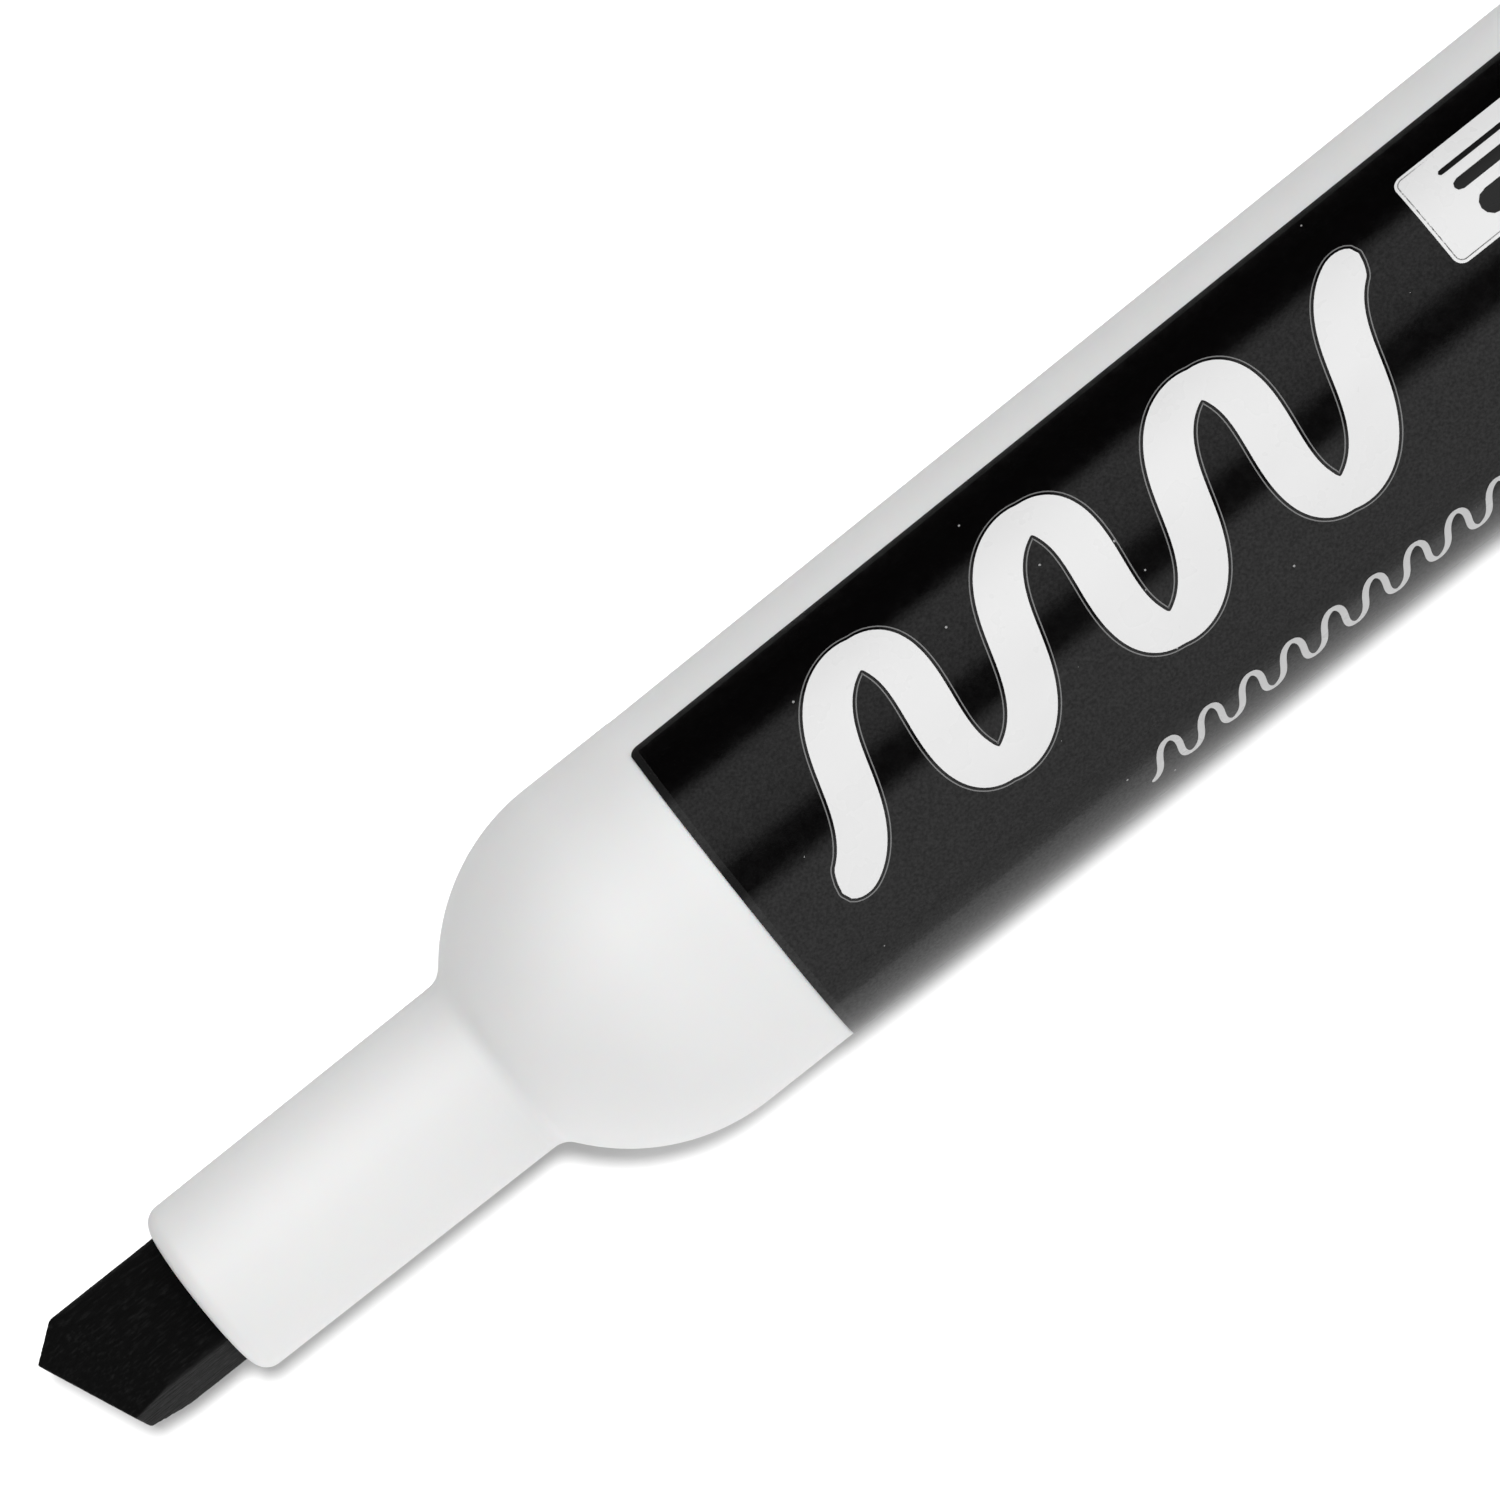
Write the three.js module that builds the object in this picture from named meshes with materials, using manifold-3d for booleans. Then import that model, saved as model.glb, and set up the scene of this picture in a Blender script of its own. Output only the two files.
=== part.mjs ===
/**
 * A whiteboard marker with a chisel nib, its cap posted on the tail.
 *
 * The marker lies along X with the nib towards -X. Inside the group, u runs along the
 * marker's axis from the front rim of the neck (u = 0) towards the tail, and r is the
 * distance from that axis. All lengths are in millimetres and +Z is up.
 */
import * as THREE from 'three';
import { mergeVertices } from 'three/addons/utils/BufferGeometryUtils.js';
import Module from 'manifold-3d';

// ---- Driving dimensions ----------------------------------------------------------------

const SIDES = 48; // flats round every turned surface
const LOOSE = 0.12; // gap round a piece that is pushed into its neighbour
const FILM_GAP = 0.02; // gap under the label film
const CHAMFER = 0.3;
const EDGE_BREAK = 0.2; // small bevel that takes the sharpness off a moulded edge
const PAST = 1; // how far a cutting tool runs past the face it cuts
const OUTSIDE = 20; // larger than any radius here, for cutting tools

// Barrel: neck, domed shoulder, seat for the cap and drafted tube, in one moulding
const RIM_RADIUS = 4.335;
const RIM_ROUND = 0.85;
const NECK_DRAFT = 0.0056;
const NECK_LENGTH = 16.66;
const NECK_FILLET = 0.6;
const DOME_RADIUS = 9.8;
const SEAT_RADIUS = 8.6;
const SEAT_START = 24.68;
const SEAT_STEP_LENGTH = 0.1;
const LABEL_START = 29.4;
const TUBE_RADIUS = 8.575;
const TUBE_DRAFT = 0.0085;
const TUBE_END = 97.6;
const BARREL_WALL = 1.4;
const BORE_DRAFT = 0.0075;
const SOCKET_END = 18.5;
const BARREL_RIBS = 6;
const BARREL_RIB_WIDTH = 0.8;
const BARREL_RIB_INNER = 6.8;
const BARREL_RIB_FROM = 27;
const BARREL_RIB_TO = 86;

// Label film round the tube, with a bare strip left between its long edges
const LABEL_THICKNESS = 0.06;
const LABEL_END = 94;
const BARE_STRIP_FROM = 55; // degrees from straight up, towards +Y
const BARE_STRIP_TO = 111;

// Chisel nib: a rounded bar with a slanted, bevelled writing edge
const NIB_WIDTH = 5.85;
const NIB_THICKNESS = 4.4;
const NIB_ROUND = 0.5;
const NIB_ROLL = 20; // degrees about the marker's axis
const NIB_APEX = -7.45;
const NIB_APEX_ACROSS = 1.82;
const NIB_SLANT = 24; // degrees of the writing edge off square
const NIB_TOP_CUT = 58; // degrees of the short upper cut off square
const NIB_TOP_BEVEL = 2.4;
const NIB_UNDER_BEVEL = 2.4;
const NIB_EDGE_THICKNESS = 2.2;
const NIB_EDGE_SHIFT = 0.1;
const NIB_EDGE_LEAN = 0.1; // how far the end's lower edge lies behind its upper one
const NIB_TAIL = 31;
const NIB_TAIL_TAPER = 1.5;

// Ink reservoir, its film sleeve and the breather tube beside it
const FIBRE_RADIUS = 6.45;
const FIBRE_FROM = 23.5;
const FIBRE_TO = 86;
const SLEEVE_RADIUS = 6.7;
const SLEEVE_THICKNESS = 0.14;
const SLEEVE_OVERHANG = 0.5;
const BREATHER_RADIUS = 0.6;
const BREATHER_BORE = 0.3;
const BREATHER_OFFSET = 5.7;
const BREATHER_FROM = 22.8;
const BREATHER_TO = 87.5;

// Rear plug: spigot in the bore, collar against the tube, land for the posted cap
const SPIGOT_FROM = 89;
const SPIGOT_RADIUS = 7.6;
const SPIGOT_LEAD_IN = 1;
const COLLAR_RADIUS = 9.16;
const COLLAR_FROM = 97.65;
const COLLAR_TO = 99;
const LAND_RADIUS = 8.6;
const LAND_END = 111.5;
const LAND_ROUND = 1.2;
const PLUG_HOLLOW_RADIUS = 6.2;
const PLUG_END_WALL = 2;
const PLUG_INNER_ROUND = 0.8;
const GROOVE_DEPTH = 0.15;

// Cap: ribbed shell and the liner that seals the nib. Depths run from the cap's lip
const CAP_LIP = 99.1;
const CAP_LENGTH = 42.45;
const CAP_LIP_RADIUS = 9.45;
const CAP_END_RADIUS = 9.3;
const CAP_END_ROUND = 2.2;
const CAP_END_WALL = 2;
const CAP_BORE = 8.75;
const CAP_BEAD_RADIUS = 8.65;
const CAP_BEAD_DEPTH = 2;
const CAP_BEAD_WIDTH = 1;
const CAP_INNER_BORE = 8.2;
const CAP_RIBS = 12;
const CAP_RIB_WIDTH = 1.4;
const CAP_RIB_RADIUS = 9.78;
const CAP_RIB_ROOT = 9;
const CAP_RIB_FROM = 9;
const CAP_RIB_RAMP = 1.5;
const LINER_MOUTH = 18;
const LINER_FLANGE = 1.3;
const LINER_FLANGE_RADIUS = 8.6;
const LINER_RADIUS = 5.6;
const LINER_GRIP_BORE = 4.45;
const LINER_GRIP_LENGTH = 4;
const LINER_BORE = 4.7;
const LINER_FLARE = 0.5;
const LINER_FLOOR = 38.5;
const LINER_END = 39.6;

// ---- Derived dimensions ----------------------------------------------------------------

const HALF_RIB_STEP = Math.PI / CAP_RIBS;
const AXIS_HEIGHT = CAP_RIB_RADIUS * Math.cos(HALF_RIB_STEP)
  + (CAP_RIB_WIDTH / 2) * Math.sin(HALF_RIB_STEP);
const CENTRE = (NIB_APEX + CAP_LIP + CAP_LENGTH) / 2;
const DOME_CENTRE_RADIUS = SEAT_RADIUS - DOME_RADIUS;

const rad = THREE.MathUtils.degToRad;
const neckRadius = (u) => RIM_RADIUS + NECK_DRAFT * u;
const domeRadius = (u, radius) => DOME_CENTRE_RADIUS + Math.sqrt(radius ** 2 - (SEAT_START - u) ** 2);
const tubeRadius = (u) => TUBE_RADIUS + TUBE_DRAFT * (u - LABEL_START);
const boreRadius = (u) => SEAT_RADIUS - BARREL_WALL + BORE_DRAFT * (u - SEAT_START);

// ---- Solid helpers ---------------------------------------------------------------------

const wasm = await Module();
wasm.setup();

/** Turns a closed three.js geometry into a solid that can be joined and cut. */
function solid(geometry) {
  const bare = geometry.clone();
  bare.deleteAttribute('normal');
  bare.deleteAttribute('uv');
  const merged = mergeVertices(bare);
  const index = merged.index.array;
  const triangles = [];
  for (let i = 0; i < index.length; i += 3) {
    const [a, b, c] = index.slice(i, i + 3);
    if (a !== b && b !== c && c !== a) triangles.push(a, b, c);
  }
  return new wasm.Manifold(new wasm.Mesh({
    numProp: 3,
    vertProperties: new Float32Array(merged.attributes.position.array),
    triVerts: new Uint32Array(triangles),
  }));
}

/** Turns a solid back into a three.js geometry. */
function toGeometry(body) {
  const mesh = body.getMesh();
  const geometry = new THREE.BufferGeometry();
  geometry.setAttribute('position', new THREE.BufferAttribute(mesh.vertProperties, 3));
  geometry.setIndex(new THREE.BufferAttribute(mesh.triVerts, 1));
  geometry.computeVertexNormals();
  return geometry;
}

/** Turns an outline of [u, r] points about the marker's axis. */
function turned(outline, sides = SIDES) {
  const points = outline.map(([u, r]) => new THREE.Vector2(r, u));
  return new THREE.LatheGeometry(points, sides).rotateZ(-Math.PI / 2);
}

/** Points on an arc about [u, r], from one angle to another in degrees, 0 along +u. */
function arc(u, r, radius, from, to, steps) {
  return Array.from({ length: steps + 1 }, (_, i) => {
    const angle = rad(from + ((to - from) * i) / steps);
    return [u + radius * Math.cos(angle), r + radius * Math.sin(angle)];
  });
}

/** A straight tube along the axis between two places, closed on itself. */
function tube(from, to, outer, inner, sides = SIDES) {
  return turned([[from, inner], [from, outer], [to, outer], [to, inner], [from, inner]], sides);
}

/** A bar of a flat outline in the plane of u and height, as wide across as asked. */
function slab(outline, width) {
  const shape = new THREE.Shape(outline.map(([u, height]) => new THREE.Vector2(u, height)));
  const geometry = new THREE.ExtrudeGeometry(shape, { depth: width, bevelEnabled: false });
  return geometry.translate(0, 0, -width / 2).rotateX(Math.PI / 2);
}

/** Joins copies of one geometry, spaced evenly round the axis, to a solid. */
function addRound(body, geometry, count, start) {
  let result = body;
  for (let i = 0; i < count; i += 1) {
    const copy = geometry.clone().rotateX(start + (2 * Math.PI * i) / count);
    result = result.add(solid(copy));
  }
  return result;
}

// ---- Chisel nib ------------------------------------------------------------------------

/** The nib's rounded bar between two places, grown by a margin all round. */
function nibBar(from, to, margin = 0) {
  const width = NIB_WIDTH + 2 * margin;
  const thickness = NIB_THICKNESS + 2 * margin;
  const round = NIB_ROUND + margin;
  const x = width / 2 - round;
  const y = thickness / 2 - round;
  const shape = new THREE.Shape();
  shape.absarc(x, y, round, 0, Math.PI / 2);
  shape.absarc(-x, y, round, Math.PI / 2, Math.PI);
  shape.absarc(-x, -y, round, Math.PI, 1.5 * Math.PI);
  shape.absarc(x, -y, round, 1.5 * Math.PI, 2 * Math.PI);
  const bar = new THREE.ExtrudeGeometry(shape, {
    depth: to - from, bevelEnabled: false, curveSegments: 4,
  });
  // The section's width goes to Y, its thickness to Z and its length to u
  const frame = new THREE.Matrix4().makeBasis(
    new THREE.Vector3(0, 1, 0), new THREE.Vector3(0, 0, 1), new THREE.Vector3(1, 0, 0),
  );
  return bar.applyMatrix4(frame).translate(from, 0, 0);
}

/** The outline of the nib seen on its wide face, cut to the slanted edge and the short cut. */
function nibFaceTool() {
  const across = 2 * NIB_WIDTH;
  const shape = new THREE.Shape([
    new THREE.Vector2(NIB_APEX, NIB_APEX_ACROSS),
    new THREE.Vector2(NIB_APEX + across * Math.tan(rad(NIB_SLANT)), NIB_APEX_ACROSS - across),
    new THREE.Vector2(NIB_TAIL + PAST, NIB_APEX_ACROSS - across),
    new THREE.Vector2(NIB_TAIL + PAST, NIB_APEX_ACROSS + across),
    new THREE.Vector2(NIB_APEX + across * Math.tan(rad(NIB_TOP_CUT)), NIB_APEX_ACROSS + across),
  ]);
  const depth = 2 * NIB_THICKNESS;
  return new THREE.ExtrudeGeometry(shape, { depth, bevelEnabled: false }).translate(0, 0, -depth / 2);
}

/** The outline of the nib seen along its writing edge, with a bevel on each wide face. */
function nibBevelTool() {
  const face = NIB_THICKNESS / 2;
  const beyond = face + EDGE_BREAK;
  const top = NIB_EDGE_SHIFT + NIB_EDGE_THICKNESS / 2;
  const under = NIB_EDGE_THICKNESS / 2 - NIB_EDGE_SHIFT;
  const wedge = slab([
    [NIB_EDGE_LEAN, -under],
    [NIB_UNDER_BEVEL * (beyond - under) / (face - under), -beyond],
    [2 * OUTSIDE, -beyond],
    [2 * OUTSIDE, beyond],
    [NIB_TOP_BEVEL * (beyond - top) / (face - top), beyond],
    [0, top],
  ], 2 * OUTSIDE);
  return wedge.rotateZ(rad(NIB_SLANT)).translate(NIB_APEX, NIB_APEX_ACROSS, 0);
}

function nib() {
  const end = NIB_TAIL - NIB_TAIL_TAPER;
  const half = NIB_THICKNESS / 2;
  const tail = slab([
    [NIB_APEX - PAST, -half - PAST],
    [end, -half - PAST],
    [end, -half],
    [NIB_TAIL, -half / 2],
    [NIB_TAIL, half / 2],
    [end, half],
    [end, half + PAST],
    [NIB_APEX - PAST, half + PAST],
  ], 2 * NIB_WIDTH);
  const body = solid(nibBar(NIB_APEX - PAST, NIB_TAIL))
    .intersect(solid(nibFaceTool()))
    .intersect(solid(nibBevelTool()))
    .intersect(solid(tail));
  return toGeometry(body).rotateX(rad(-NIB_ROLL));
}

// ---- Barrel and label ------------------------------------------------------------------

function barrelOutline() {
  const filletFrom = NECK_LENGTH - NECK_FILLET;
  const filletTo = NECK_LENGTH + NECK_FILLET * 0.6;
  const fillet = new THREE.QuadraticBezierCurve(
    new THREE.Vector2(filletFrom, neckRadius(filletFrom)),
    new THREE.Vector2(NECK_LENGTH, neckRadius(NECK_LENGTH)),
    new THREE.Vector2(filletTo, domeRadius(filletTo, DOME_RADIUS)),
  ).getPoints(3).map((p) => [p.x, p.y]);
  const slope = THREE.MathUtils.radToDeg(Math.acos((filletTo - SEAT_START) / DOME_RADIUS));
  return [
    [0, 0],
    ...arc(RIM_ROUND, neckRadius(RIM_ROUND) - RIM_ROUND, RIM_ROUND, 180, 90, 4),
    ...fillet,
    ...arc(SEAT_START, DOME_CENTRE_RADIUS, DOME_RADIUS, slope, 90, 9).slice(1),
    [LABEL_START - SEAT_STEP_LENGTH, SEAT_RADIUS],
    [LABEL_START, TUBE_RADIUS],
    [TUBE_END - CHAMFER, tubeRadius(TUBE_END)],
    [TUBE_END, tubeRadius(TUBE_END) - CHAMFER],
    [TUBE_END, 0],
  ];
}

function barrelCavity() {
  const inner = DOME_RADIUS - BARREL_WALL;
  const slope = THREE.MathUtils.radToDeg(Math.acos((SOCKET_END - SEAT_START) / inner));
  return [
    [SOCKET_END, 0],
    ...arc(SEAT_START, DOME_CENTRE_RADIUS, inner, slope, 90, 5),
    [TUBE_END + PAST, boreRadius(TUBE_END + PAST)],
    [TUBE_END + PAST, 0],
  ];
}

function barrel() {
  const socket = nibBar(-PAST, SOCKET_END + PAST, LOOSE).rotateX(rad(-NIB_ROLL));
  const ribRoot = boreRadius(BARREL_RIB_TO) + CHAMFER;
  const rib = slab([
    [BARREL_RIB_FROM, BARREL_RIB_INNER],
    [BARREL_RIB_TO, BARREL_RIB_INNER],
    [BARREL_RIB_TO + CHAMFER, ribRoot],
    [BARREL_RIB_FROM, ribRoot],
  ], BARREL_RIB_WIDTH);
  const shell = solid(turned(barrelOutline()))
    .subtract(solid(turned(barrelCavity())))
    .subtract(solid(socket));
  return toGeometry(addRound(shell, rib, BARREL_RIBS, 0));
}

function labelWrap() {
  const inner = (u) => tubeRadius(u) + FILM_GAP;
  const outer = (u) => inner(u) + LABEL_THICKNESS;
  const wrap = solid(turned([
    [LABEL_START, inner(LABEL_START)],
    [LABEL_START, outer(LABEL_START)],
    [LABEL_END, outer(LABEL_END)],
    [LABEL_END, inner(LABEL_END)],
    [LABEL_START, inner(LABEL_START)],
  ]));
  const ray = (degrees) => new THREE.Vector2(
    -OUTSIDE * Math.cos(rad(degrees)), OUTSIDE * Math.sin(rad(degrees)),
  );
  const sector = new THREE.Shape([
    new THREE.Vector2(0, 0), ray(BARE_STRIP_FROM), ray((BARE_STRIP_FROM + BARE_STRIP_TO) / 2),
    ray(BARE_STRIP_TO),
  ]);
  const strip = new THREE.ExtrudeGeometry(sector, { depth: LABEL_END + PAST, bevelEnabled: false })
    .rotateY(Math.PI / 2);
  return toGeometry(wrap.subtract(solid(strip)));
}

// ---- Ink reservoir ---------------------------------------------------------------------

function inkReservoir() {
  const fibre = solid(turned([
    [FIBRE_FROM, 0],
    [FIBRE_FROM, FIBRE_RADIUS - CHAMFER],
    [FIBRE_FROM + CHAMFER, FIBRE_RADIUS],
    [FIBRE_TO - CHAMFER, FIBRE_RADIUS],
    [FIBRE_TO, FIBRE_RADIUS - CHAMFER],
    [FIBRE_TO, 0],
  ]));
  const pocket = nibBar(FIBRE_FROM - PAST, NIB_TAIL + LOOSE, LOOSE).rotateX(rad(-NIB_ROLL));
  const channelFloor = BREATHER_OFFSET - BREATHER_RADIUS - LOOSE;
  const channel = slab([
    [FIBRE_FROM - PAST, channelFloor],
    [FIBRE_TO + PAST, channelFloor],
    [FIBRE_TO + PAST, OUTSIDE],
    [FIBRE_FROM - PAST, OUTSIDE],
  ], 2 * (BREATHER_RADIUS + LOOSE));
  return toGeometry(fibre.subtract(solid(pocket)).subtract(solid(channel)));
}

const reservoirFilm = () => tube(
  FIBRE_FROM - SLEEVE_OVERHANG, FIBRE_TO + SLEEVE_OVERHANG,
  SLEEVE_RADIUS, SLEEVE_RADIUS - SLEEVE_THICKNESS,
);

const breatherTube = () => tube(BREATHER_FROM, BREATHER_TO, BREATHER_RADIUS, BREATHER_BORE, 12)
  .translate(0, 0, BREATHER_OFFSET);

// ---- Rear plug -------------------------------------------------------------------------

function rearPlug() {
  const floor = LAND_END - PLUG_END_WALL;
  const grooveFrom = CAP_LIP + CAP_BEAD_DEPTH - LOOSE;
  const grooveTo = grooveFrom + CAP_BEAD_WIDTH + 2 * LOOSE;
  const grooveRadius = LAND_RADIUS - GROOVE_DEPTH;
  return turned([
    [SPIGOT_FROM, PLUG_HOLLOW_RADIUS],
    [SPIGOT_FROM, SPIGOT_RADIUS - CHAMFER],
    [SPIGOT_FROM + SPIGOT_LEAD_IN, SPIGOT_RADIUS],
    [COLLAR_FROM, SPIGOT_RADIUS],
    [COLLAR_FROM, COLLAR_RADIUS - EDGE_BREAK],
    [COLLAR_FROM + EDGE_BREAK, COLLAR_RADIUS],
    [COLLAR_TO - EDGE_BREAK, COLLAR_RADIUS],
    [COLLAR_TO, COLLAR_RADIUS - EDGE_BREAK],
    [COLLAR_TO, LAND_RADIUS],
    [grooveFrom, LAND_RADIUS],
    [grooveFrom + GROOVE_DEPTH, grooveRadius],
    [grooveTo - GROOVE_DEPTH, grooveRadius],
    [grooveTo, LAND_RADIUS],
    ...arc(LAND_END - LAND_ROUND, LAND_RADIUS - LAND_ROUND, LAND_ROUND, 90, 0, 4),
    [LAND_END, 0],
    [floor, 0],
    [floor, PLUG_HOLLOW_RADIUS - PLUG_INNER_ROUND],
    [floor - PLUG_INNER_ROUND, PLUG_HOLLOW_RADIUS],
    [SPIGOT_FROM, PLUG_HOLLOW_RADIUS],
  ]);
}

// ---- Cap -------------------------------------------------------------------------------

function capShell() {
  const at = (depth) => CAP_LIP + depth;
  const end = at(CAP_LENGTH);
  const floor = end - CAP_END_WALL;
  const bead = CAP_BORE - CAP_BEAD_RADIUS;
  const beadTo = CAP_BEAD_DEPTH + CAP_BEAD_WIDTH;
  const step = LINER_MOUTH + LINER_FLANGE + LOOSE;
  const shell = solid(turned([
    [floor, 0],
    [floor, CAP_INNER_BORE],
    [at(step), CAP_INNER_BORE],
    [at(step), CAP_BORE],
    [at(beadTo + bead), CAP_BORE],
    [at(beadTo), CAP_BEAD_RADIUS],
    [at(CAP_BEAD_DEPTH), CAP_BEAD_RADIUS],
    [at(CAP_BEAD_DEPTH - bead), CAP_BORE],
    [at(EDGE_BREAK), CAP_BORE],
    [at(0), CAP_BORE + EDGE_BREAK],
    [at(0), CAP_LIP_RADIUS - EDGE_BREAK],
    [at(EDGE_BREAK), CAP_LIP_RADIUS],
    ...arc(end - CAP_END_ROUND, CAP_END_RADIUS - CAP_END_ROUND, CAP_END_ROUND, 90, 0, 6),
    [end, 0],
  ]));
  const rib = slab([
    [at(CAP_RIB_FROM), CAP_RIB_ROOT],
    [at(CAP_LENGTH - CAP_END_ROUND), CAP_RIB_ROOT],
    [end - 0.6 * CAP_END_ROUND, CAP_RIB_ROOT],
    [end - CAP_END_ROUND, CAP_RIB_RADIUS - 0.1],
    [end - 1.4 * CAP_END_ROUND, CAP_RIB_RADIUS],
    [at(CAP_RIB_FROM + CAP_RIB_RAMP), CAP_RIB_RADIUS],
  ], CAP_RIB_WIDTH);
  return toGeometry(addRound(shell, rib, CAP_RIBS, HALF_RIB_STEP));
}

function capLiner() {
  const at = (depth) => CAP_LIP + depth;
  const gripEnd = LINER_MOUTH + LINER_GRIP_LENGTH;
  return turned([
    [at(LINER_FLOOR), 0],
    [at(LINER_FLOOR), LINER_BORE],
    [at(gripEnd + LINER_FLARE), LINER_BORE],
    [at(gripEnd), LINER_GRIP_BORE],
    [at(LINER_MOUTH + LINER_FLARE), LINER_GRIP_BORE],
    [at(LINER_MOUTH), LINER_GRIP_BORE + LINER_FLARE],
    [at(LINER_MOUTH), LINER_FLANGE_RADIUS],
    [at(LINER_MOUTH + LINER_FLANGE), LINER_FLANGE_RADIUS],
    [at(LINER_MOUTH + LINER_FLANGE), LINER_RADIUS],
    [at(LINER_END), LINER_RADIUS],
    [at(LINER_END), 0],
  ]);
}

// ---- Assembly --------------------------------------------------------------------------

const group = new THREE.Group();
group.position.set(-CENTRE, 0, AXIS_HEIGHT);

function place(name, geometry, color, roughness) {
  const material = new THREE.MeshStandardMaterial({ color, roughness, metalness: 0 });
  const mesh = new THREE.Mesh(geometry, material);
  mesh.name = name;
  group.add(mesh);
}

place('barrel', barrel(), 0xf1f2ee, 0.38);
place('label_wrap', labelWrap(), 0x17181a, 0.25);
place('chisel_nib', nib(), 0x121213, 0.9);
place('ink_reservoir', inkReservoir(), 0x1b1b1f, 0.95);
place('reservoir_film', reservoirFilm(), 0xd6dadd, 0.2);
place('breather_tube', breatherTube(), 0xe6e6e2, 0.4);
place('rear_plug', rearPlug(), 0x1a1a1c, 0.4);
place('cap_shell', capShell(), 0x18181a, 0.35);
place('cap_liner', capLiner(), 0xe4e4de, 0.5);

export default group;
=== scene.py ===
"""A whiteboard marker with its cap posted: fine meshes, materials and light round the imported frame.

The marker lies along X with its nib towards -X. Here u runs along its axis from the rim of the neck
and r is the distance from the axis, both in millimetres. Round the marker, an angle of 0 is straight
up and grows towards +Y, so a place on the label is (u, v), with v the arc length from the top line.
"""
import math

import bmesh
import bpy
import numpy as np
from mathutils import Matrix, Vector, noise


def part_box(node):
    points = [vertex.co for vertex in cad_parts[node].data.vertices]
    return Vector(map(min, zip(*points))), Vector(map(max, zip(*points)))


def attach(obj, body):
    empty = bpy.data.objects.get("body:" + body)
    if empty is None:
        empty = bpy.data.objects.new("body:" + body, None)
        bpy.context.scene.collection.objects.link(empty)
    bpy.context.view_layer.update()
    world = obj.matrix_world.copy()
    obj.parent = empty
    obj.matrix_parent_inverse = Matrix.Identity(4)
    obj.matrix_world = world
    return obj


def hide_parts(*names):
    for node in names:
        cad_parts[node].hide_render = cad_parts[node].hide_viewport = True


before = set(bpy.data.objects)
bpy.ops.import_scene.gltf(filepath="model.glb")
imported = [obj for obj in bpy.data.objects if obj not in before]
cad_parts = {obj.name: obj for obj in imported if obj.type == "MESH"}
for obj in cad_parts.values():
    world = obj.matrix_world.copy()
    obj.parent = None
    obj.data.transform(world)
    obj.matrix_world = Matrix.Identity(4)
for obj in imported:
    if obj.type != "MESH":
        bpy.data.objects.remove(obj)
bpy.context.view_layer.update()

MM = 0.001

# ---- Places from the frame ---------------------------------------------------------------------

barrel_low, barrel_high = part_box("barrel")
plug_low, plug_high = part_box("rear_plug")
cap_low, cap_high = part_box("cap_shell")
liner_low, liner_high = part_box("cap_liner")
film_low, film_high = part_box("reservoir_film")
breather_low, breather_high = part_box("breather_tube")
label_low, label_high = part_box("label_wrap")

RIM_X = barrel_low.x
AXIS_Z = (cap_low.z + cap_high.z) / 2


def along(x):
    """The u of a place on the row's X axis."""
    return (x - RIM_X) / MM


TUBE_END = along(barrel_high.x)
LABEL_START = along(label_low.x)
LABEL_END = along(label_high.x)
CAP_LIP = along(cap_low.x)
CAP_END = along(cap_high.x)
PLUG_FROM = along(plug_low.x)
PLUG_END = along(plug_high.x)
LINER_MOUTH = along(liner_low.x)
LINER_END = along(liner_high.x)

# ---- Sizes, in millimetres ---------------------------------------------------------------------

SIDES = 288  # steps round a fine turned surface

RIM_RADIUS = 4.335
RIM_ROUND = 0.85
NECK_DRAFT = 0.0056
NECK_LENGTH = 16.66
NECK_FILLET = 0.6
FILLET_ON_DOME = 0.6  # how far the fillet runs up the dome, as a share of its length on the neck
DOME_RADIUS = 9.8
SEAT_RADIUS = 8.6
SEAT_START = 24.68
SEAT_STEP = 0.1
TUBE_RADIUS = 8.575
TUBE_DRAFT = 0.0085
WALL = 1.4
BORE_DRAFT = 0.0075
SOCKET_END = 18.5
CHAMFER = 0.3
BARREL_RIBS = 6
BARREL_RIB_WIDTH = 0.8
BARREL_RIB_INNER = 6.8
BARREL_RIB_FROM = 27
BARREL_RIB_TO = 86

FILM_GAP = 0.02
FILM_THICKNESS = 0.06
FILM_CORNER = 0.45
BARE_STRIP_FROM = 54  # degrees from straight up, towards +Y
BARE_STRIP_TO = 111
# width of the film's raised edge, which also gets a paler tone as a painted highlight
EDGE_LIP_AND_HIGHLIGHT_WIDTH = 0.36
PRINT_THICKNESS = 0.012

NIB_WIDTH = 5.85
NIB_THICKNESS = 4.4
NIB_ROUND = 0.5
NIB_ROLL = 20  # degrees
SOCKET_GAP = 0.12

CAP_LIP_RADIUS = 9.45
CAP_END_RADIUS = 9.3
CAP_END_ROUND = 2.2
CAP_BORE = 8.75
CAP_INNER_BORE = 8.2
CAP_RIBS = 12
CAP_RIB_RADIUS = 9.78
CAP_RIB_WIDTH = 1.4
CAP_RIB_FROM = 9

dome_centre = SEAT_RADIUS - DOME_RADIUS


def neck_radius(u):
    return RIM_RADIUS + NECK_DRAFT * u


def dome_radius(u, radius=DOME_RADIUS):
    return dome_centre + math.sqrt(radius ** 2 - (SEAT_START - u) ** 2)


def tube_radius(u):
    return TUBE_RADIUS + TUBE_DRAFT * (u - LABEL_START)


def bore_radius(u):
    return SEAT_RADIUS - WALL + BORE_DRAFT * (u - SEAT_START)


def film_radius(u):
    return tube_radius(u) + FILM_GAP + FILM_THICKNESS


# ---- Mesh helpers ------------------------------------------------------------------------------


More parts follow.
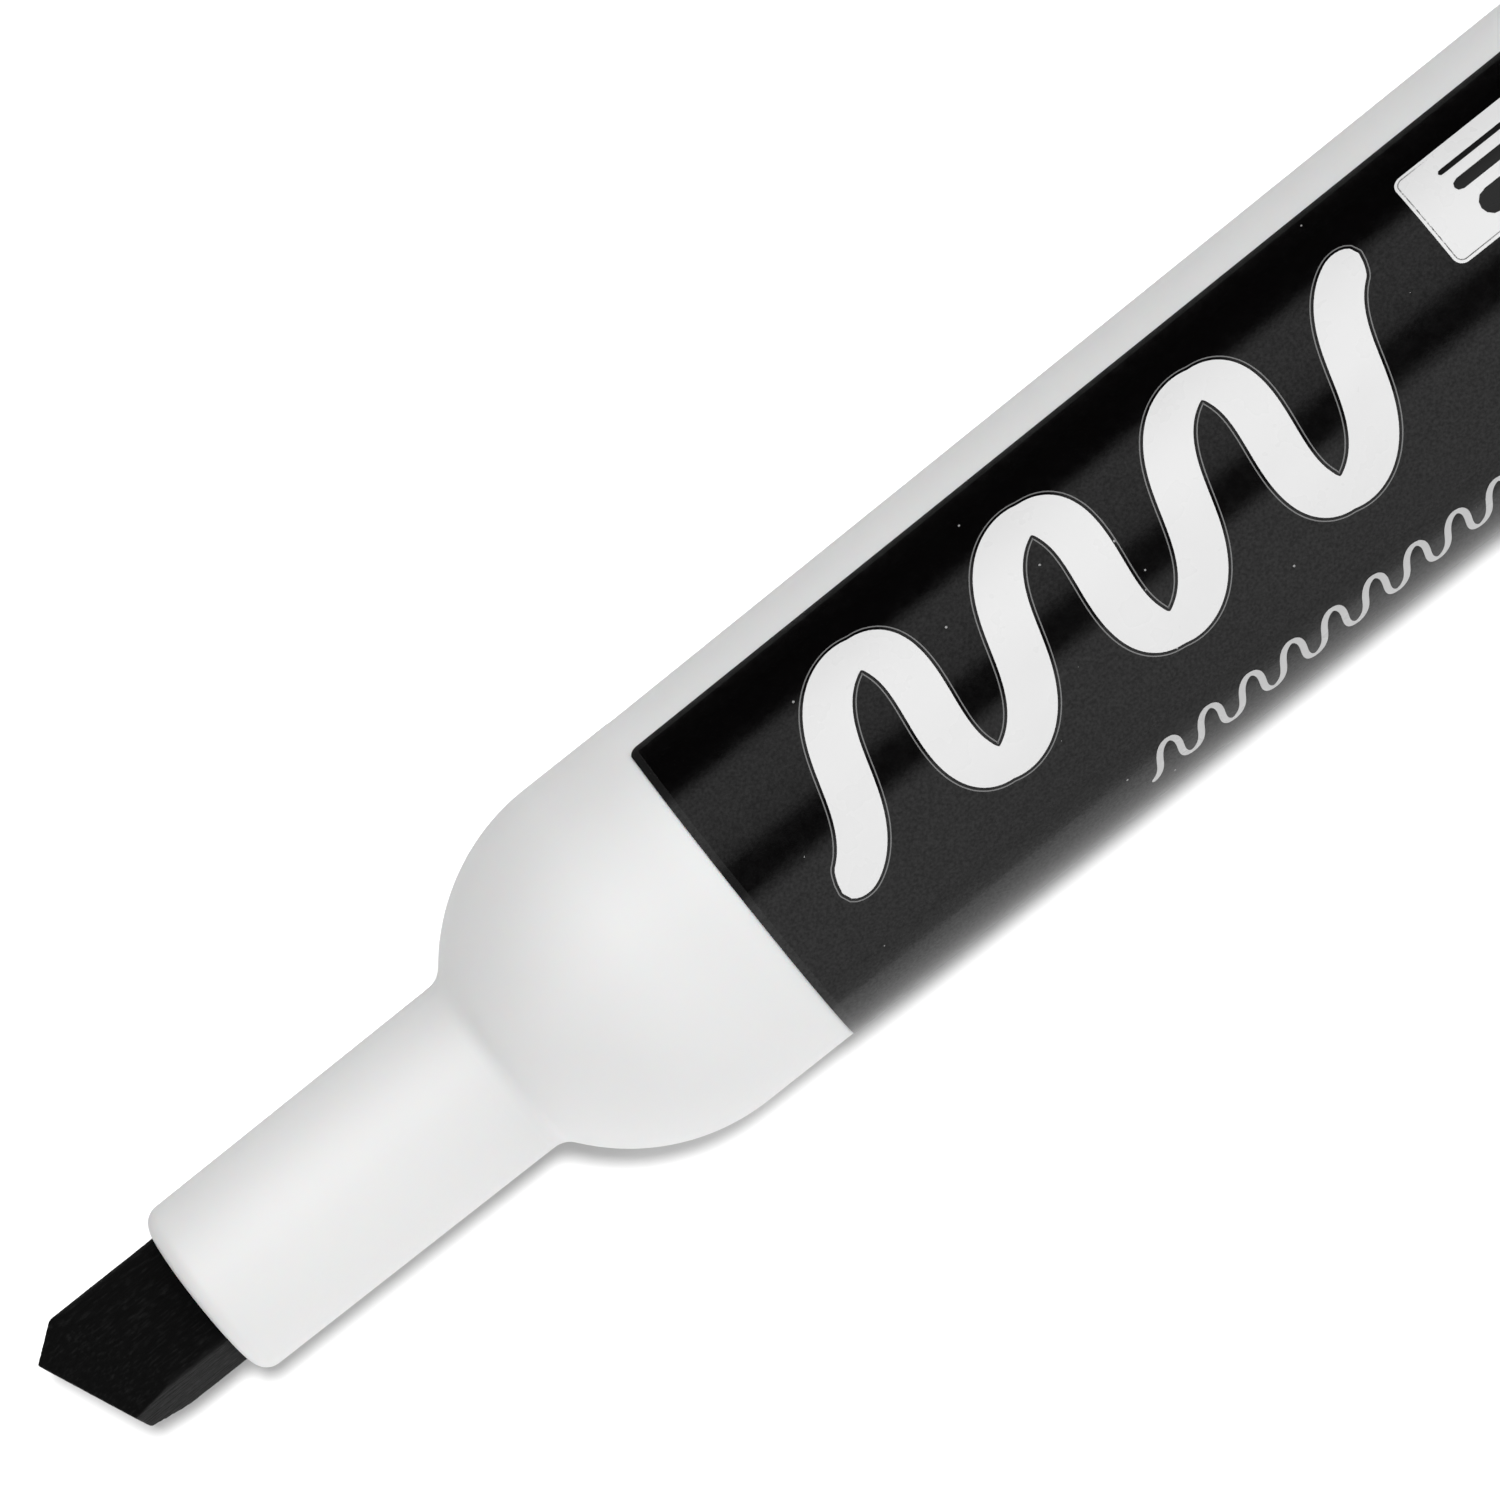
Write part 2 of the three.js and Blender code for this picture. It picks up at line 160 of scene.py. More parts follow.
def to_row(u, angle, r):
    """Points in the row frame, in metres, from arrays of u, angle round the axis and radius."""
    u, angle, r = np.broadcast_arrays(u, angle, r)
    x = RIM_X + u * MM
    y = r * np.sin(angle) * MM
    z = AXIS_Z + r * np.cos(angle) * MM
    return np.stack([x, y, z], axis=-1)


def make_object(name, points, faces, sharp_degrees=32):
    mesh = bpy.data.meshes.new(name)
    mesh.from_pydata([tuple(p) for p in points], [], faces)
    mesh.validate()
    mesh.shade_smooth()
    mesh.set_sharp_from_angle(angle=math.radians(sharp_degrees))
    mesh.update()
    piece = bpy.data.objects.new(name, mesh)
    bpy.context.scene.collection.objects.link(piece)
    return piece


def turned(name, outline, sides=SIDES, offset=0.0, sharp_degrees=32):
    """A surface turned about the axis. Each row of the outline is (u, r), numbers or arrays round it.

    An outline that starts and ends at r = 0 is closed by two poles, and any other closes on itself.
    offset moves the turned piece's own axis up from the marker's, in millimetres.
    """
    angle = np.arange(sides) * 2 * math.pi / sides
    points, starts = [], []
    for u, r in outline:
        pole = np.ndim(r) == 0 and r == 0
        starts.append((len(points), pole))
        row = to_row(u, angle[:1] if pole else angle, r)
        points.extend(row)
    rows = list(zip(starts, starts[1:]))
    if not starts[0][1]:
        rows.append((starts[-1], starts[0]))
    faces = []
    for (a, a_pole), (b, b_pole) in rows:
        for i in range(sides):
            j = (i + 1) % sides
            if a_pole:
                faces.append((a, b + i, b + j))
            elif b_pole:
                faces.append((a + i, b, a + j))
            else:
                faces.append((a + i, b + i, b + j, a + j))
    points = np.array(points) + np.array([0, 0, offset * MM])
    return make_object(name, points, faces, sharp_degrees)


def arc(u, r, radius, start, end, steps):
    """Outline rows on an arc about (u, r), from one angle to another in degrees, 0 along +u."""
    rows = []
    for i in range(steps + 1):
        t = math.radians(start + (end - start) * i / steps)
        rows.append((u + radius * math.cos(t), r + radius * math.sin(t)))
    return rows


def inner_corner(u, r, radius, steps):
    """Outline rows round the rounded corner at the bottom of a hollow, without the first point."""
    return arc(u - radius, r - radius, radius, 0, 90, steps)[1:]


def line(start, end, steps):
    """Outline rows on a straight line, without its first point."""
    return [
        tuple(a + (b - a) * i / steps for a, b in zip(start, end))
        for i in range(1, steps + 1)
    ]


def curve(start, corner, end, steps):
    """Outline rows on a curve that leaves start and meets end as the lines to corner do."""
    rows = []
    for i in range(steps + 1):
        t = i / steps
        rows.append(tuple(
            (1 - t) ** 2 * a + 2 * t * (1 - t) * c + t ** 2 * b
            for a, c, b in zip(start, corner, end)
        ))
    return rows


def smooth_step(x):
    x = np.clip(x, 0, 1)
    return x * x * (3 - 2 * x)


def patch(u, angle, low, high, wrap=False):
    """A thin closed solid on the tube over a grid of places, from one height to another over the film.

    low and high are heights over the film's outer face, in millimetres. With wrap, the grid's rows
    run round a closed loop.
    """
    rows, columns = u.shape
    top = to_row(u, angle, film_radius(u) + high).reshape(-1, 3)
    under = to_row(u, angle, film_radius(u) + low).reshape(-1, 3)
    half = rows * columns
    faces = []

    def side(a, b):
        faces.append((a, b, b + half, a + half))

    for i in range(rows if wrap else rows - 1):
        k = (i + 1) % rows
        for j in range(columns - 1):
            a, b = i * columns + j, i * columns + j + 1
            c, d = k * columns + j + 1, k * columns + j
            faces.append((a, b, c, d))
            faces.append((d + half, c + half, b + half, a + half))
        side(i * columns, k * columns)
        side(k * columns + columns - 1, i * columns + columns - 1)
    if not wrap:
        for j in range(columns - 1):
            side(j + 1, j)
            side((rows - 1) * columns + j, (rows - 1) * columns + j + 1)
    return np.concatenate([top, under]), faces


def join_patches(name, patches):
    """One object of several separate solids."""
    points, faces, start = [], [], 0
    for patch_points, patch_faces in patches:
        points.append(patch_points)
        faces.extend(tuple(i + start for i in face) for face in patch_faces)
        start += len(patch_points)
    piece = make_object(name, np.concatenate(points), faces)
    outward(piece.data)
    return piece


def outward(mesh):
    """Turns every face of a mesh of closed solids outward."""
    work = bmesh.new()
    work.from_mesh(mesh)
    bmesh.ops.recalc_face_normals(work, faces=work.faces)
    work.to_mesh(mesh)
    work.free()


def print_angle(u, v):
    """The angle round the axis of an arc length v on the film."""
    return v / film_radius(u)


# ---- Barrel ------------------------------------------------------------------------------------

RIM_STEPS = 14
RIM_ROW_APART = 0.002  # least distance between rows where the socket's corner cuts into the rim
NEVER_ZERO = 1e-9


def bar_radius(angle, margin):
    """Distance from the axis to the side of the nib's rolled, rounded bar, grown by a margin."""
    width = NIB_WIDTH / 2 + margin
    height = NIB_THICKNESS / 2 + margin
    corner = NIB_ROUND + margin
    across = np.abs(np.sin(angle - math.radians(NIB_ROLL)))
    up = np.abs(np.cos(angle - math.radians(NIB_ROLL)))
    to_side = width / np.maximum(across, NEVER_ZERO)
    to_face = height / np.maximum(up, NEVER_ZERO)
    reach = across * (width - corner) + up * (height - corner)
    centre = (width - corner) ** 2 + (height - corner) ** 2
    to_corner = reach + np.sqrt(np.maximum(reach ** 2 - centre + corner ** 2, 0))
    on_side = to_side * up <= height - corner
    on_face = to_face * across <= width - corner
    return np.where(on_side, to_side, np.where(on_face, to_face, to_corner))


def rim_rows(socket):
    """The rounded front rim, from the edge of the nib's socket out to the neck."""
    flat = neck_radius(RIM_ROUND) - RIM_ROUND
    lip = socket + SOCKET_GAP
    rows = [(np.full_like(socket, SOCKET_GAP), socket)]
    for i in range(RIM_STEPS + 1):
        turn = math.pi / 2 * i / RIM_STEPS
        r = np.maximum(flat + RIM_ROUND * math.sin(turn), lip + RIM_ROW_APART * i)
        past = np.clip(r - flat, 0, RIM_ROUND)
        rows.append((RIM_ROUND - np.sqrt(RIM_ROUND ** 2 - past ** 2), r))
    return rows


def ribbed_bore(u, angle):
    """The bore's wall with the ribs that hold the reservoir off it."""
    step = 2 * math.pi / BARREL_RIBS
    off = np.abs((angle + step / 2) % step - step / 2)
    rib = BARREL_RIB_INNER / np.cos(off)
    wall = np.full_like(angle, bore_radius(u))
    return np.where(off * BARREL_RIB_INNER < BARREL_RIB_WIDTH / 2, np.minimum(rib, wall), wall)


def barrel_piece():
    angle = np.arange(SIDES) * 2 * math.pi / SIDES
    socket = bar_radius(angle, SOCKET_GAP)
    fillet_from = NECK_LENGTH - NECK_FILLET
    fillet_to = NECK_LENGTH + NECK_FILLET * FILLET_ON_DOME
    slope = math.degrees(math.acos((fillet_to - SEAT_START) / DOME_RADIUS))
    inner = DOME_RADIUS - WALL
    inner_slope = math.degrees(math.acos((SOCKET_END - SEAT_START) / inner))
    edge = tube_radius(TUBE_END)
    rows = rim_rows(socket)
    rows += line((RIM_ROUND, neck_radius(RIM_ROUND)), (fillet_from, neck_radius(fillet_from)), 8)
    rows += curve(
        (fillet_from, neck_radius(fillet_from)),
        (NECK_LENGTH, neck_radius(NECK_LENGTH)),
        (fillet_to, dome_radius(fillet_to)),
        8,
    )[1:]
    rows += arc(SEAT_START, dome_centre, DOME_RADIUS, slope, 90, 36)[1:]
    rows += line((SEAT_START, SEAT_RADIUS), (LABEL_START - SEAT_STEP, SEAT_RADIUS), 3)
    rows += [(LABEL_START, TUBE_RADIUS)]
    rows += line((LABEL_START, TUBE_RADIUS), (TUBE_END - CHAMFER, edge), 16)
    rows += arc(TUBE_END - CHAMFER, edge - CHAMFER, CHAMFER, 90, 0, 4)[1:]
    rows += [(TUBE_END, bore_radius(TUBE_END))]
    rows += [(BARREL_RIB_TO + CHAMFER, bore_radius(BARREL_RIB_TO))]
    rows += [(BARREL_RIB_TO, ribbed_bore(BARREL_RIB_TO, angle))]
    rows += [(BARREL_RIB_FROM, ribbed_bore(BARREL_RIB_FROM, angle))]
    rows += [(BARREL_RIB_FROM - CHAMFER, bore_radius(BARREL_RIB_FROM))]
    rows += arc(SEAT_START, dome_centre, inner, 90, inner_slope, 12)
    rows += [(SOCKET_END, socket)]
    piece = turned("barrel_moulding", rows)
    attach(piece, "marker")
    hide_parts("barrel")
    return piece


# ---- Label film and its print ------------------------------------------------------------------

LABEL_CORNER_STEPS = 8
LABEL_STEPS_ROUND = 220
LABEL_STEPS_ALONG = 40
STROKE_TIP = 0.02  # half width at the very end of a stroke


def label_piece():
    """The film, with rounded corners, from one side of the bare strip to the other."""
    start, end = math.radians(BARE_STRIP_TO - 360), math.radians(BARE_STRIP_FROM)
    rounding = FILM_CORNER / SEAT_RADIUS
    quarter = rounding * (1 - np.cos(np.linspace(0, math.pi / 2, LABEL_CORNER_STEPS + 1)))
    middle = np.linspace(start + rounding, end - rounding, LABEL_STEPS_ROUND)
    angle = np.concatenate([start + quarter[:-1], middle, end - quarter[-2::-1]])
    edge = np.minimum(angle - start, end - angle) * SEAT_RADIUS
    short = np.clip(FILM_CORNER - edge, 0, FILM_CORNER)
    inset = FILM_CORNER - np.sqrt(FILM_CORNER ** 2 - short ** 2)
    share = np.linspace(0, 1, LABEL_STEPS_ALONG)[None, :]
    low = LABEL_START + inset[:, None]
    high = LABEL_END - inset[:, None]
    u = low + (high - low) * share
    grid = np.broadcast_to(angle[:, None], u.shape)
    piece = join_patches("label_film", [patch(u, grid, -FILM_THICKNESS, 0)])
    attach(piece, "marker")
    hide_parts("label_wrap")
    return piece


def stroke_grid(centre, half_width, across=8):
    """Places (u, v) across a stroke of the given half widths along its centre line."""
    ahead = np.gradient(centre, axis=0)
    ahead /= np.linalg.norm(ahead, axis=1)[:, None]
    left = np.stack([-ahead[:, 1], ahead[:, 0]], axis=1)
    share = np.linspace(-1, 1, across + 1)
    spread = left[:, None, :] * half_width[:, None, None] * share[None, :, None]
    return centre[:, None, :] + spread


def rounded_widths(distance, half_width):
    """Half widths that round off both ends of a stroke, from the distance along it."""
    to_end = np.minimum(distance, distance[-1] - distance)
    near = np.clip(half_width - to_end, 0, half_width)
    return np.maximum(np.sqrt(half_width ** 2 - near ** 2), STROKE_TIP)


def stroke_patch(grid, low, high):
    return patch(grid[..., 0], print_angle(grid[..., 0], grid[..., 1]), low, high)


def outline_patch(grid, gap, width, low, high):
    """A thin line that runs round a stroke at a small gap from it."""
    loop = np.concatenate([grid[:, 0], grid[::-1, -1]])
    ahead = np.roll(loop, -1, axis=0) - np.roll(loop, 1, axis=0)
    ahead /= np.maximum(np.linalg.norm(ahead, axis=1), NEVER_ZERO)[:, None]
    out = np.stack([ahead[:, 1], -ahead[:, 0]], axis=1)
    places = np.stack([loop + out * gap, loop + out * (gap + width)], axis=1)
    angle = print_angle(places[..., 0], places[..., 1])
    return patch(places[..., 0], angle, low, high, wrap=True)


def wave_line(length, height, turn_degrees, periods, steps):
    """A wave whose heading swings evenly from side to side, scaled to a length and a height."""
    distance = np.linspace(0, periods, steps)
    heading = math.radians(turn_degrees) * np.sin(2 * math.pi * distance)
    step = np.stack([np.cos(heading), np.sin(heading)], axis=1)
    path = np.concatenate([[[0, 0]], np.cumsum((step[1:] + step[:-1]) / 2, axis=0)])
    path -= (path.max(axis=0) + path.min(axis=0)) / 2
    return path / np.ptp(path, axis=0) * [length, height]


# The print is plain decoration: a wave drawn with a chisel edge, a ripple beside it, a panel with bars
# of growing thickness, and more bars underneath. It holds no lettering.

WAVE_CENTRE = (50.0, 0.5)
WAVE_LENGTH = 32.4
WAVE_HEIGHT = 8.0
WAVE_PERIODS = 3.5
WAVE_HALF_WIDTH = 1.12
RIPPLE_CENTRE = (56.6, -9.0)
RIPPLE_LENGTH = 20.2
RIPPLE_HEIGHT = 2.1
RIPPLE_PERIODS = 9
RIPPLE_HALF_WIDTH = 0.17
PANEL_LOW = (70.0, 1.15)
PANEL_HIGH = (90.5, 6.25)
PANEL_CORNER = 0.5
PANEL_BARS = [(5.1, 0.14), (4.1, 0.3), (2.6, 0.62)]  # (v, half width) of each
PANEL_MARGIN = 1.7
UNDER_START = 36
UNDER_ENDS = [84, 81, 83, 76, 82, 58]  # where each bar underneath ends
UNDER_V = -19
UNDER_STEP = 1.7
UNDER_HALF_WIDTH = 0.3
INK_WHITE = 0.84
INK_OUTLINE = 0.2
INK_BLACK = 0.004
INK_PALE = 0.6
WAVE_STEPS = 500
WAVE_TURN = 84  # degrees that a wave's heading swings to each side
WAVE_SLANT = 0.22  # shift along the marker for each unit across it
WAVE_THINNEST = 0.72  # share of the stroke's width where it runs along the pen's edge
PEN_ANGLE = -12  # degrees of the pen's edge off the marker's axis
OUTLINE_GAP = 0.13
OUTLINE_WIDTH = 0.055


def wave_grid(centre, length, height, periods, half_width, across=8):
    """A wave, with strokes that are thicker where they cross the pen's edge."""
    path = wave_line(length, height, WAVE_TURN, periods, WAVE_STEPS)
    path[:, 0] += WAVE_SLANT * path[:, 1]
    path += centre
    ahead = np.gradient(path, axis=0)
    heading = np.arctan2(ahead[:, 1], ahead[:, 0]) - math.radians(PEN_ANGLE)
    across_pen = np.abs(np.sin(heading))
    width = half_width * (WAVE_THINNEST + (1 - WAVE_THINNEST) * across_pen)
    step = np.linalg.norm(np.diff(path, axis=0), axis=1)
    distance = np.concatenate([[0], np.cumsum(step)])
    return stroke_grid(path, rounded_widths(distance, width), across)


def bar_grid(start, end, half_width, across=2, steps=24):
    """A straight stroke with rounded ends between two places."""
    share = (1 - np.cos(np.linspace(0, math.pi, steps))) / 2
    path = np.array(start) + share[:, None] * (np.array(end) - np.array(start))
    distance = share * math.dist(start, end)
    return stroke_grid(path, rounded_widths(distance, half_width), across)


def panel_grid(low, high, corner, steps=40):
    """A rectangle with rounded corners, made of columns across the label."""
    v = low[1] + (high[1] - low[1]) * (1 - np.cos(np.linspace(0, math.pi, steps))) / 2
    near = np.clip(corner - np.minimum(v - low[1], high[1] - v), 0, corner)
    inset = corner - np.sqrt(corner ** 2 - near ** 2)
    share = np.linspace(0, 1, 3)[None, :]
    u = (low[0] + inset)[:, None] * (1 - share) + (high[0] - inset)[:, None] * share
    return np.stack([u, np.broadcast_to(v[:, None], u.shape)], axis=-1)


def panel_bars():
    start, end = PANEL_LOW[0] + PANEL_MARGIN, PANEL_HIGH[0] - PANEL_MARGIN
    return [
        bar_grid((start + half_width, v), (end - half_width, v), half_width, 4)
        for v, half_width in PANEL_BARS
    ]


def underside_bars():
    bars = []
    for i, end in enumerate(UNDER_ENDS):
        v = UNDER_V - i * UNDER_STEP
        bars.append(bar_grid((UNDER_START, v), (end, v), UNDER_HALF_WIDTH))
    return bars


def print_layer(name, grids, level):
    """One colour of print, as thin ink on the film. level counts the layers under it."""
    low = -PRINT_THICKNESS / 2
    high = (level + 1) * PRINT_THICKNESS
    piece = join_patches(name, [stroke_patch(grid, low, high) for grid in grids])
    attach(piece, "marker")
    return piece


def outline_layer(name, grids):
    low, high = -PRINT_THICKNESS / 2, PRINT_THICKNESS
    piece = join_patches(name, [
        outline_patch(grid, OUTLINE_GAP, OUTLINE_WIDTH, low, high) for grid in grids
    ])
    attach(piece, "marker")
    return piece


# ---- Nib ---------------------------------------------------------------------------------------

NIB_VOXEL = 0.056
NIB_SMOOTHING = 16
NIB_FINE_TO = 2.5  # the front of the nib, as far as this inside the rim, has the fine mesh
NIB_OVERLAP = 1
NIB_SHARP = 50  # degrees
FIBRE_DEPTH = 0.014
FIBRE_LEVEL = 0.35


def apply_modifiers(piece):
    """Puts the piece's mesh with its modifiers applied in place of the old one."""
    graph = bpy.context.evaluated_depsgraph_get()
    mesh = bpy.data.meshes.new_from_object(piece.evaluated_get(graph))
    piece.modifiers.clear()
    piece.data = mesh


def cut_square(mesh, u, keep_front):
    """The part of a closed mesh before or after u, closed again."""
    work = bmesh.new()
    work.from_mesh(mesh)
    bmesh.ops.remove_doubles(work, verts=work.verts, dist=1e-7)
    everything = work.verts[:] + work.edges[:] + work.faces[:]
    cut = bmesh.ops.bisect_plane(
        work, geom=everything, dist=1e-8,
        plane_co=(RIM_X + u * MM, 0, 0), plane_no=(1, 0, 0),
        clear_outer=keep_front, clear_inner=not keep_front,
    )
    ring = [e for e in cut["geom_cut"] if isinstance(e, bmesh.types.BMEdge)]
    bmesh.ops.holes_fill(work, edges=ring)
    part = bpy.data.meshes.new(mesh.name + "_part")
    work.to_mesh(part)
    work.free()
    return part


def shift_along_normals(mesh, height):
    """Moves each vertex along its normal by height(place), both in millimetres."""
    count = len(mesh.vertices)
    places = np.empty(count * 3)
    normals = np.empty(count * 3)
    mesh.vertices.foreach_get("co", places)
    mesh.vertex_normals.foreach_get("vector", normals)
    heights = np.array([height(*place) for place in places.reshape(-1, 3) / MM])
    places += normals * np.repeat(heights, 3) * MM
    mesh.vertices.foreach_set("co", places)
    mesh.update()


def stretched_noise(x, y, z, length_scale, side_scale):
    return noise.noise((x * length_scale, y * side_scale, z * side_scale))


def fibre_height(x, y, z):
    """The streaks that the nib's fibres leave along it, with a little fuzz. Never above 0."""
    streak = stretched_noise(x, y, z, 0.35, 6) + 0.5 * stretched_noise(x, y, z, 1.5, 14)
    fuzz = 0.4 * stretched_noise(x, y, z, 9, 9)
    return FIBRE_DEPTH * min(streak + fuzz - FIBRE_LEVEL, 0)


def nib_piece():
    """The fibre bar: soft edges and a fibrous face at the front, and the plain tail in the barrel."""
    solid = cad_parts["chisel_nib"].data
    front = cut_square(solid, NIB_FINE_TO, True)
    piece = bpy.data.objects.new("nib_fibre_bar", front)
    bpy.context.scene.collection.objects.link(piece)
    remesh = piece.modifiers.new("even", "REMESH")
    remesh.mode = "VOXEL"
    remesh.voxel_size = NIB_VOXEL * MM
    soften = piece.modifiers.new("soften", "SMOOTH")
    soften.iterations = NIB_SMOOTHING
    apply_modifiers(piece)
    shift_along_normals(piece.data, fibre_height)
    both = bmesh.new()
    both.from_mesh(piece.data)
    both.from_mesh(cut_square(solid, NIB_FINE_TO - NIB_OVERLAP, False))
    both.to_mesh(piece.data)
    both.free()
    piece.data.shade_smooth()
    piece.data.set_sharp_from_angle(angle=math.radians(NIB_SHARP))
    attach(piece, "marker")
    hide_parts("chisel_nib")
    return piece


# ---- Plug --------------------------------------------------------------------------------------

SPIGOT_RADIUS = 7.6
SPIGOT_LEAD_IN = 1
COLLAR_GAP = 0.05
COLLAR_LENGTH = 1.35
COLLAR_RADIUS = 9.16
COLLAR_EDGE = 0.22
LAND_RADIUS = 8.6
LAND_ROUND = 1.2
PLUG_HOLLOW = 6.2
PLUG_INNER_ROUND = 0.8
PLUG_WALL = 2
GROOVE_FROM = 1.98  # behind the cap's lip
GROOVE_TO = 3.22
GROOVE_DEPTH = 0.15
DIMPLE_RADIUS = 5.4
DIMPLE_DEPTH = 0.3
DIMPLE_EDGE = 0.35  # width of the dish's sloping edge
DIMPLE_LIP = 0.1
GATE_RADIUS = 0.7
GATE_HEIGHT = 0.14
GATE_FOOT = 0.25  # how far the gate mark's foot spreads
GATE_EDGE_HEIGHT = 0.12
GATE_EDGE = 0.15


def dished_end(u, towards):
    """Rows of a shallow dished centre with a gate mark, from its rim to the axis.

    u is the flat's place, and towards is the way that the dish sinks.
    """
    floor = u + towards * DIMPLE_DEPTH
    return [
        (u, DIMPLE_RADIUS),
        *curve(
            (u, DIMPLE_RADIUS),
            (u, DIMPLE_RADIUS - DIMPLE_LIP),
            (floor, DIMPLE_RADIUS - DIMPLE_EDGE),
            5,
        ),
        (floor, GATE_RADIUS + GATE_FOOT),
        (floor - towards * GATE_EDGE_HEIGHT, GATE_RADIUS),
        (floor - towards * GATE_HEIGHT, GATE_RADIUS - GATE_EDGE),
        (floor - towards * GATE_HEIGHT, 0),
    ]


def plug_piece():
    floor = PLUG_END - PLUG_WALL
    collar = TUBE_END + COLLAR_GAP
    collar_end = collar + COLLAR_LENGTH
    groove = CAP_LIP + GROOVE_FROM
    groove_end = CAP_LIP + GROOVE_TO
    rows = [(floor, 0), (floor, PLUG_HOLLOW - PLUG_INNER_ROUND)]
    rows += inner_corner(floor, PLUG_HOLLOW, PLUG_INNER_ROUND, 6)
    rows += [(PLUG_FROM, PLUG_HOLLOW), (PLUG_FROM, SPIGOT_RADIUS - CHAMFER)]
    rows += [(PLUG_FROM + SPIGOT_LEAD_IN, SPIGOT_RADIUS), (collar, SPIGOT_RADIUS)]
    rows += arc(collar + COLLAR_EDGE, COLLAR_RADIUS - COLLAR_EDGE, COLLAR_EDGE, 180, 90, 5)
    rows += arc(collar_end - COLLAR_EDGE, COLLAR_RADIUS - COLLAR_EDGE, COLLAR_EDGE, 90, 0, 5)
    rows += [(collar_end, LAND_RADIUS), (groove, LAND_RADIUS)]
    rows += curve(
        (groove, LAND_RADIUS),
        ((groove + groove_end) / 2, LAND_RADIUS - 2 * GROOVE_DEPTH),
        (groove_end, LAND_RADIUS),
        8,
    )[1:]
    rows += line((groove_end, LAND_RADIUS), (PLUG_END - LAND_ROUND, LAND_RADIUS), 6)
    rows += arc(PLUG_END - LAND_ROUND, LAND_RADIUS - LAND_ROUND, LAND_ROUND, 90, 0, 12)[1:]
    rows += dished_end(PLUG_END, -1)
    piece = turned("tail_plug", rows)
    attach(piece, "marker")
    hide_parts("rear_plug")
    return piece


# ---- Cap ---------------------------------------------------------------------------------------

CAP_SIDES = 480
CAP_SHARP = 45  # degrees
CAP_WALL_END = 2
CAP_INNER_ROUND = 0.6
CAP_EDGE = 0.22
CAP_BEAD = 0.1
CAP_BEAD_FROM = 2
CAP_BEAD_TO = 3
CAP_BEAD_BLEND = 0.3
CAP_STEP = 19.42  # where the bore narrows behind the liner's flange
RIB_FADE = 1.9
RIB_FLAT = 0.3  # half widths of a rib's crest and of its foot, as shares of its width
RIB_FOOT = 0.72
LINER_BORE = 4.7
LINER_GRIP = 4.45
LINER_GRIP_LENGTH = 4
LINER_RADIUS = 5.6
LINER_FLANGE = 1.3
LINER_FLANGE_RADIUS = 8.6
LINER_FLANGE_EDGE = 0.1
LINER_FLOOR = 1.1
LINER_INNER_ROUND = 0.5
LINER_END_ROUND = 0.4
LINER_FLARE = 0.5
LINER_EASE = 0.6  # length over which the bore widens behind the grip


def ribbed(u, r, angle):
    """The cap's outer radius at u, with its rounded lengthwise ribs added to the plain radius r."""
    step = 2 * math.pi / CAP_RIBS
    off = np.abs(angle % step - step / 2) * CAP_RIB_RADIUS
    flat = RIB_FLAT * CAP_RIB_WIDTH
    shape = 1 - smooth_step((off - flat) / (RIB_FOOT * CAP_RIB_WIDTH - flat))
    start = smooth_step((u - CAP_LIP - CAP_RIB_FROM) / RIB_FADE)
    end = smooth_step((CAP_END - CAP_END_ROUND / 2 - u) / RIB_FADE)
    return r + (CAP_RIB_RADIUS - CAP_END_RADIUS) * shape * start * end


def cap_piece():
    angle = np.arange(CAP_SIDES) * 2 * math.pi / CAP_SIDES
    floor = CAP_END - CAP_WALL_END
    step = CAP_LIP + CAP_STEP
    bead = CAP_LIP + CAP_BEAD_FROM - CAP_BEAD_BLEND
    bead_end = CAP_LIP + CAP_BEAD_TO + CAP_BEAD_BLEND
    rows = [(floor, 0), (floor, CAP_INNER_BORE - CAP_INNER_ROUND)]
    rows += inner_corner(floor, CAP_INNER_BORE, CAP_INNER_ROUND, 5)
    rows += [(step, CAP_INNER_BORE), (step, CAP_BORE), (bead_end, CAP_BORE)]
    rows += curve(
        (bead_end, CAP_BORE),
        ((bead + bead_end) / 2, CAP_BORE - 2 * CAP_BEAD),
        (bead, CAP_BORE),
        10,
    )[1:]
    rows += arc(CAP_LIP + CAP_EDGE, CAP_BORE + CAP_EDGE, CAP_EDGE, 270, 180, 5)
    rows += arc(CAP_LIP + CAP_EDGE, CAP_LIP_RADIUS - CAP_EDGE, CAP_EDGE, 180, 90, 5)[1:]
    skirt_end = CAP_LIP + CAP_RIB_FROM
    shoulder = CAP_END - CAP_END_ROUND
    outer = line((CAP_LIP + CAP_EDGE, CAP_LIP_RADIUS), (skirt_end, CAP_END_RADIUS), 6)
    outer += line((skirt_end, CAP_END_RADIUS), (skirt_end + RIB_FADE, CAP_END_RADIUS), 8)
    outer += line((skirt_end + RIB_FADE, CAP_END_RADIUS), (shoulder - 1, CAP_END_RADIUS), 14)
    outer += line((shoulder - 1, CAP_END_RADIUS), (shoulder, CAP_END_RADIUS), 6)
    outer += arc(shoulder, CAP_END_RADIUS - CAP_END_ROUND, CAP_END_ROUND, 90, 0, 20)[1:]
    rows += [(u, ribbed(u, r, angle)) for u, r in outer]
    rows += dished_end(CAP_END, -1)
    piece = turned("cap_ribbed", rows, CAP_SIDES, sharp_degrees=CAP_SHARP)
    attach(piece, "cap")
    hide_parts("cap_shell")
    return piece


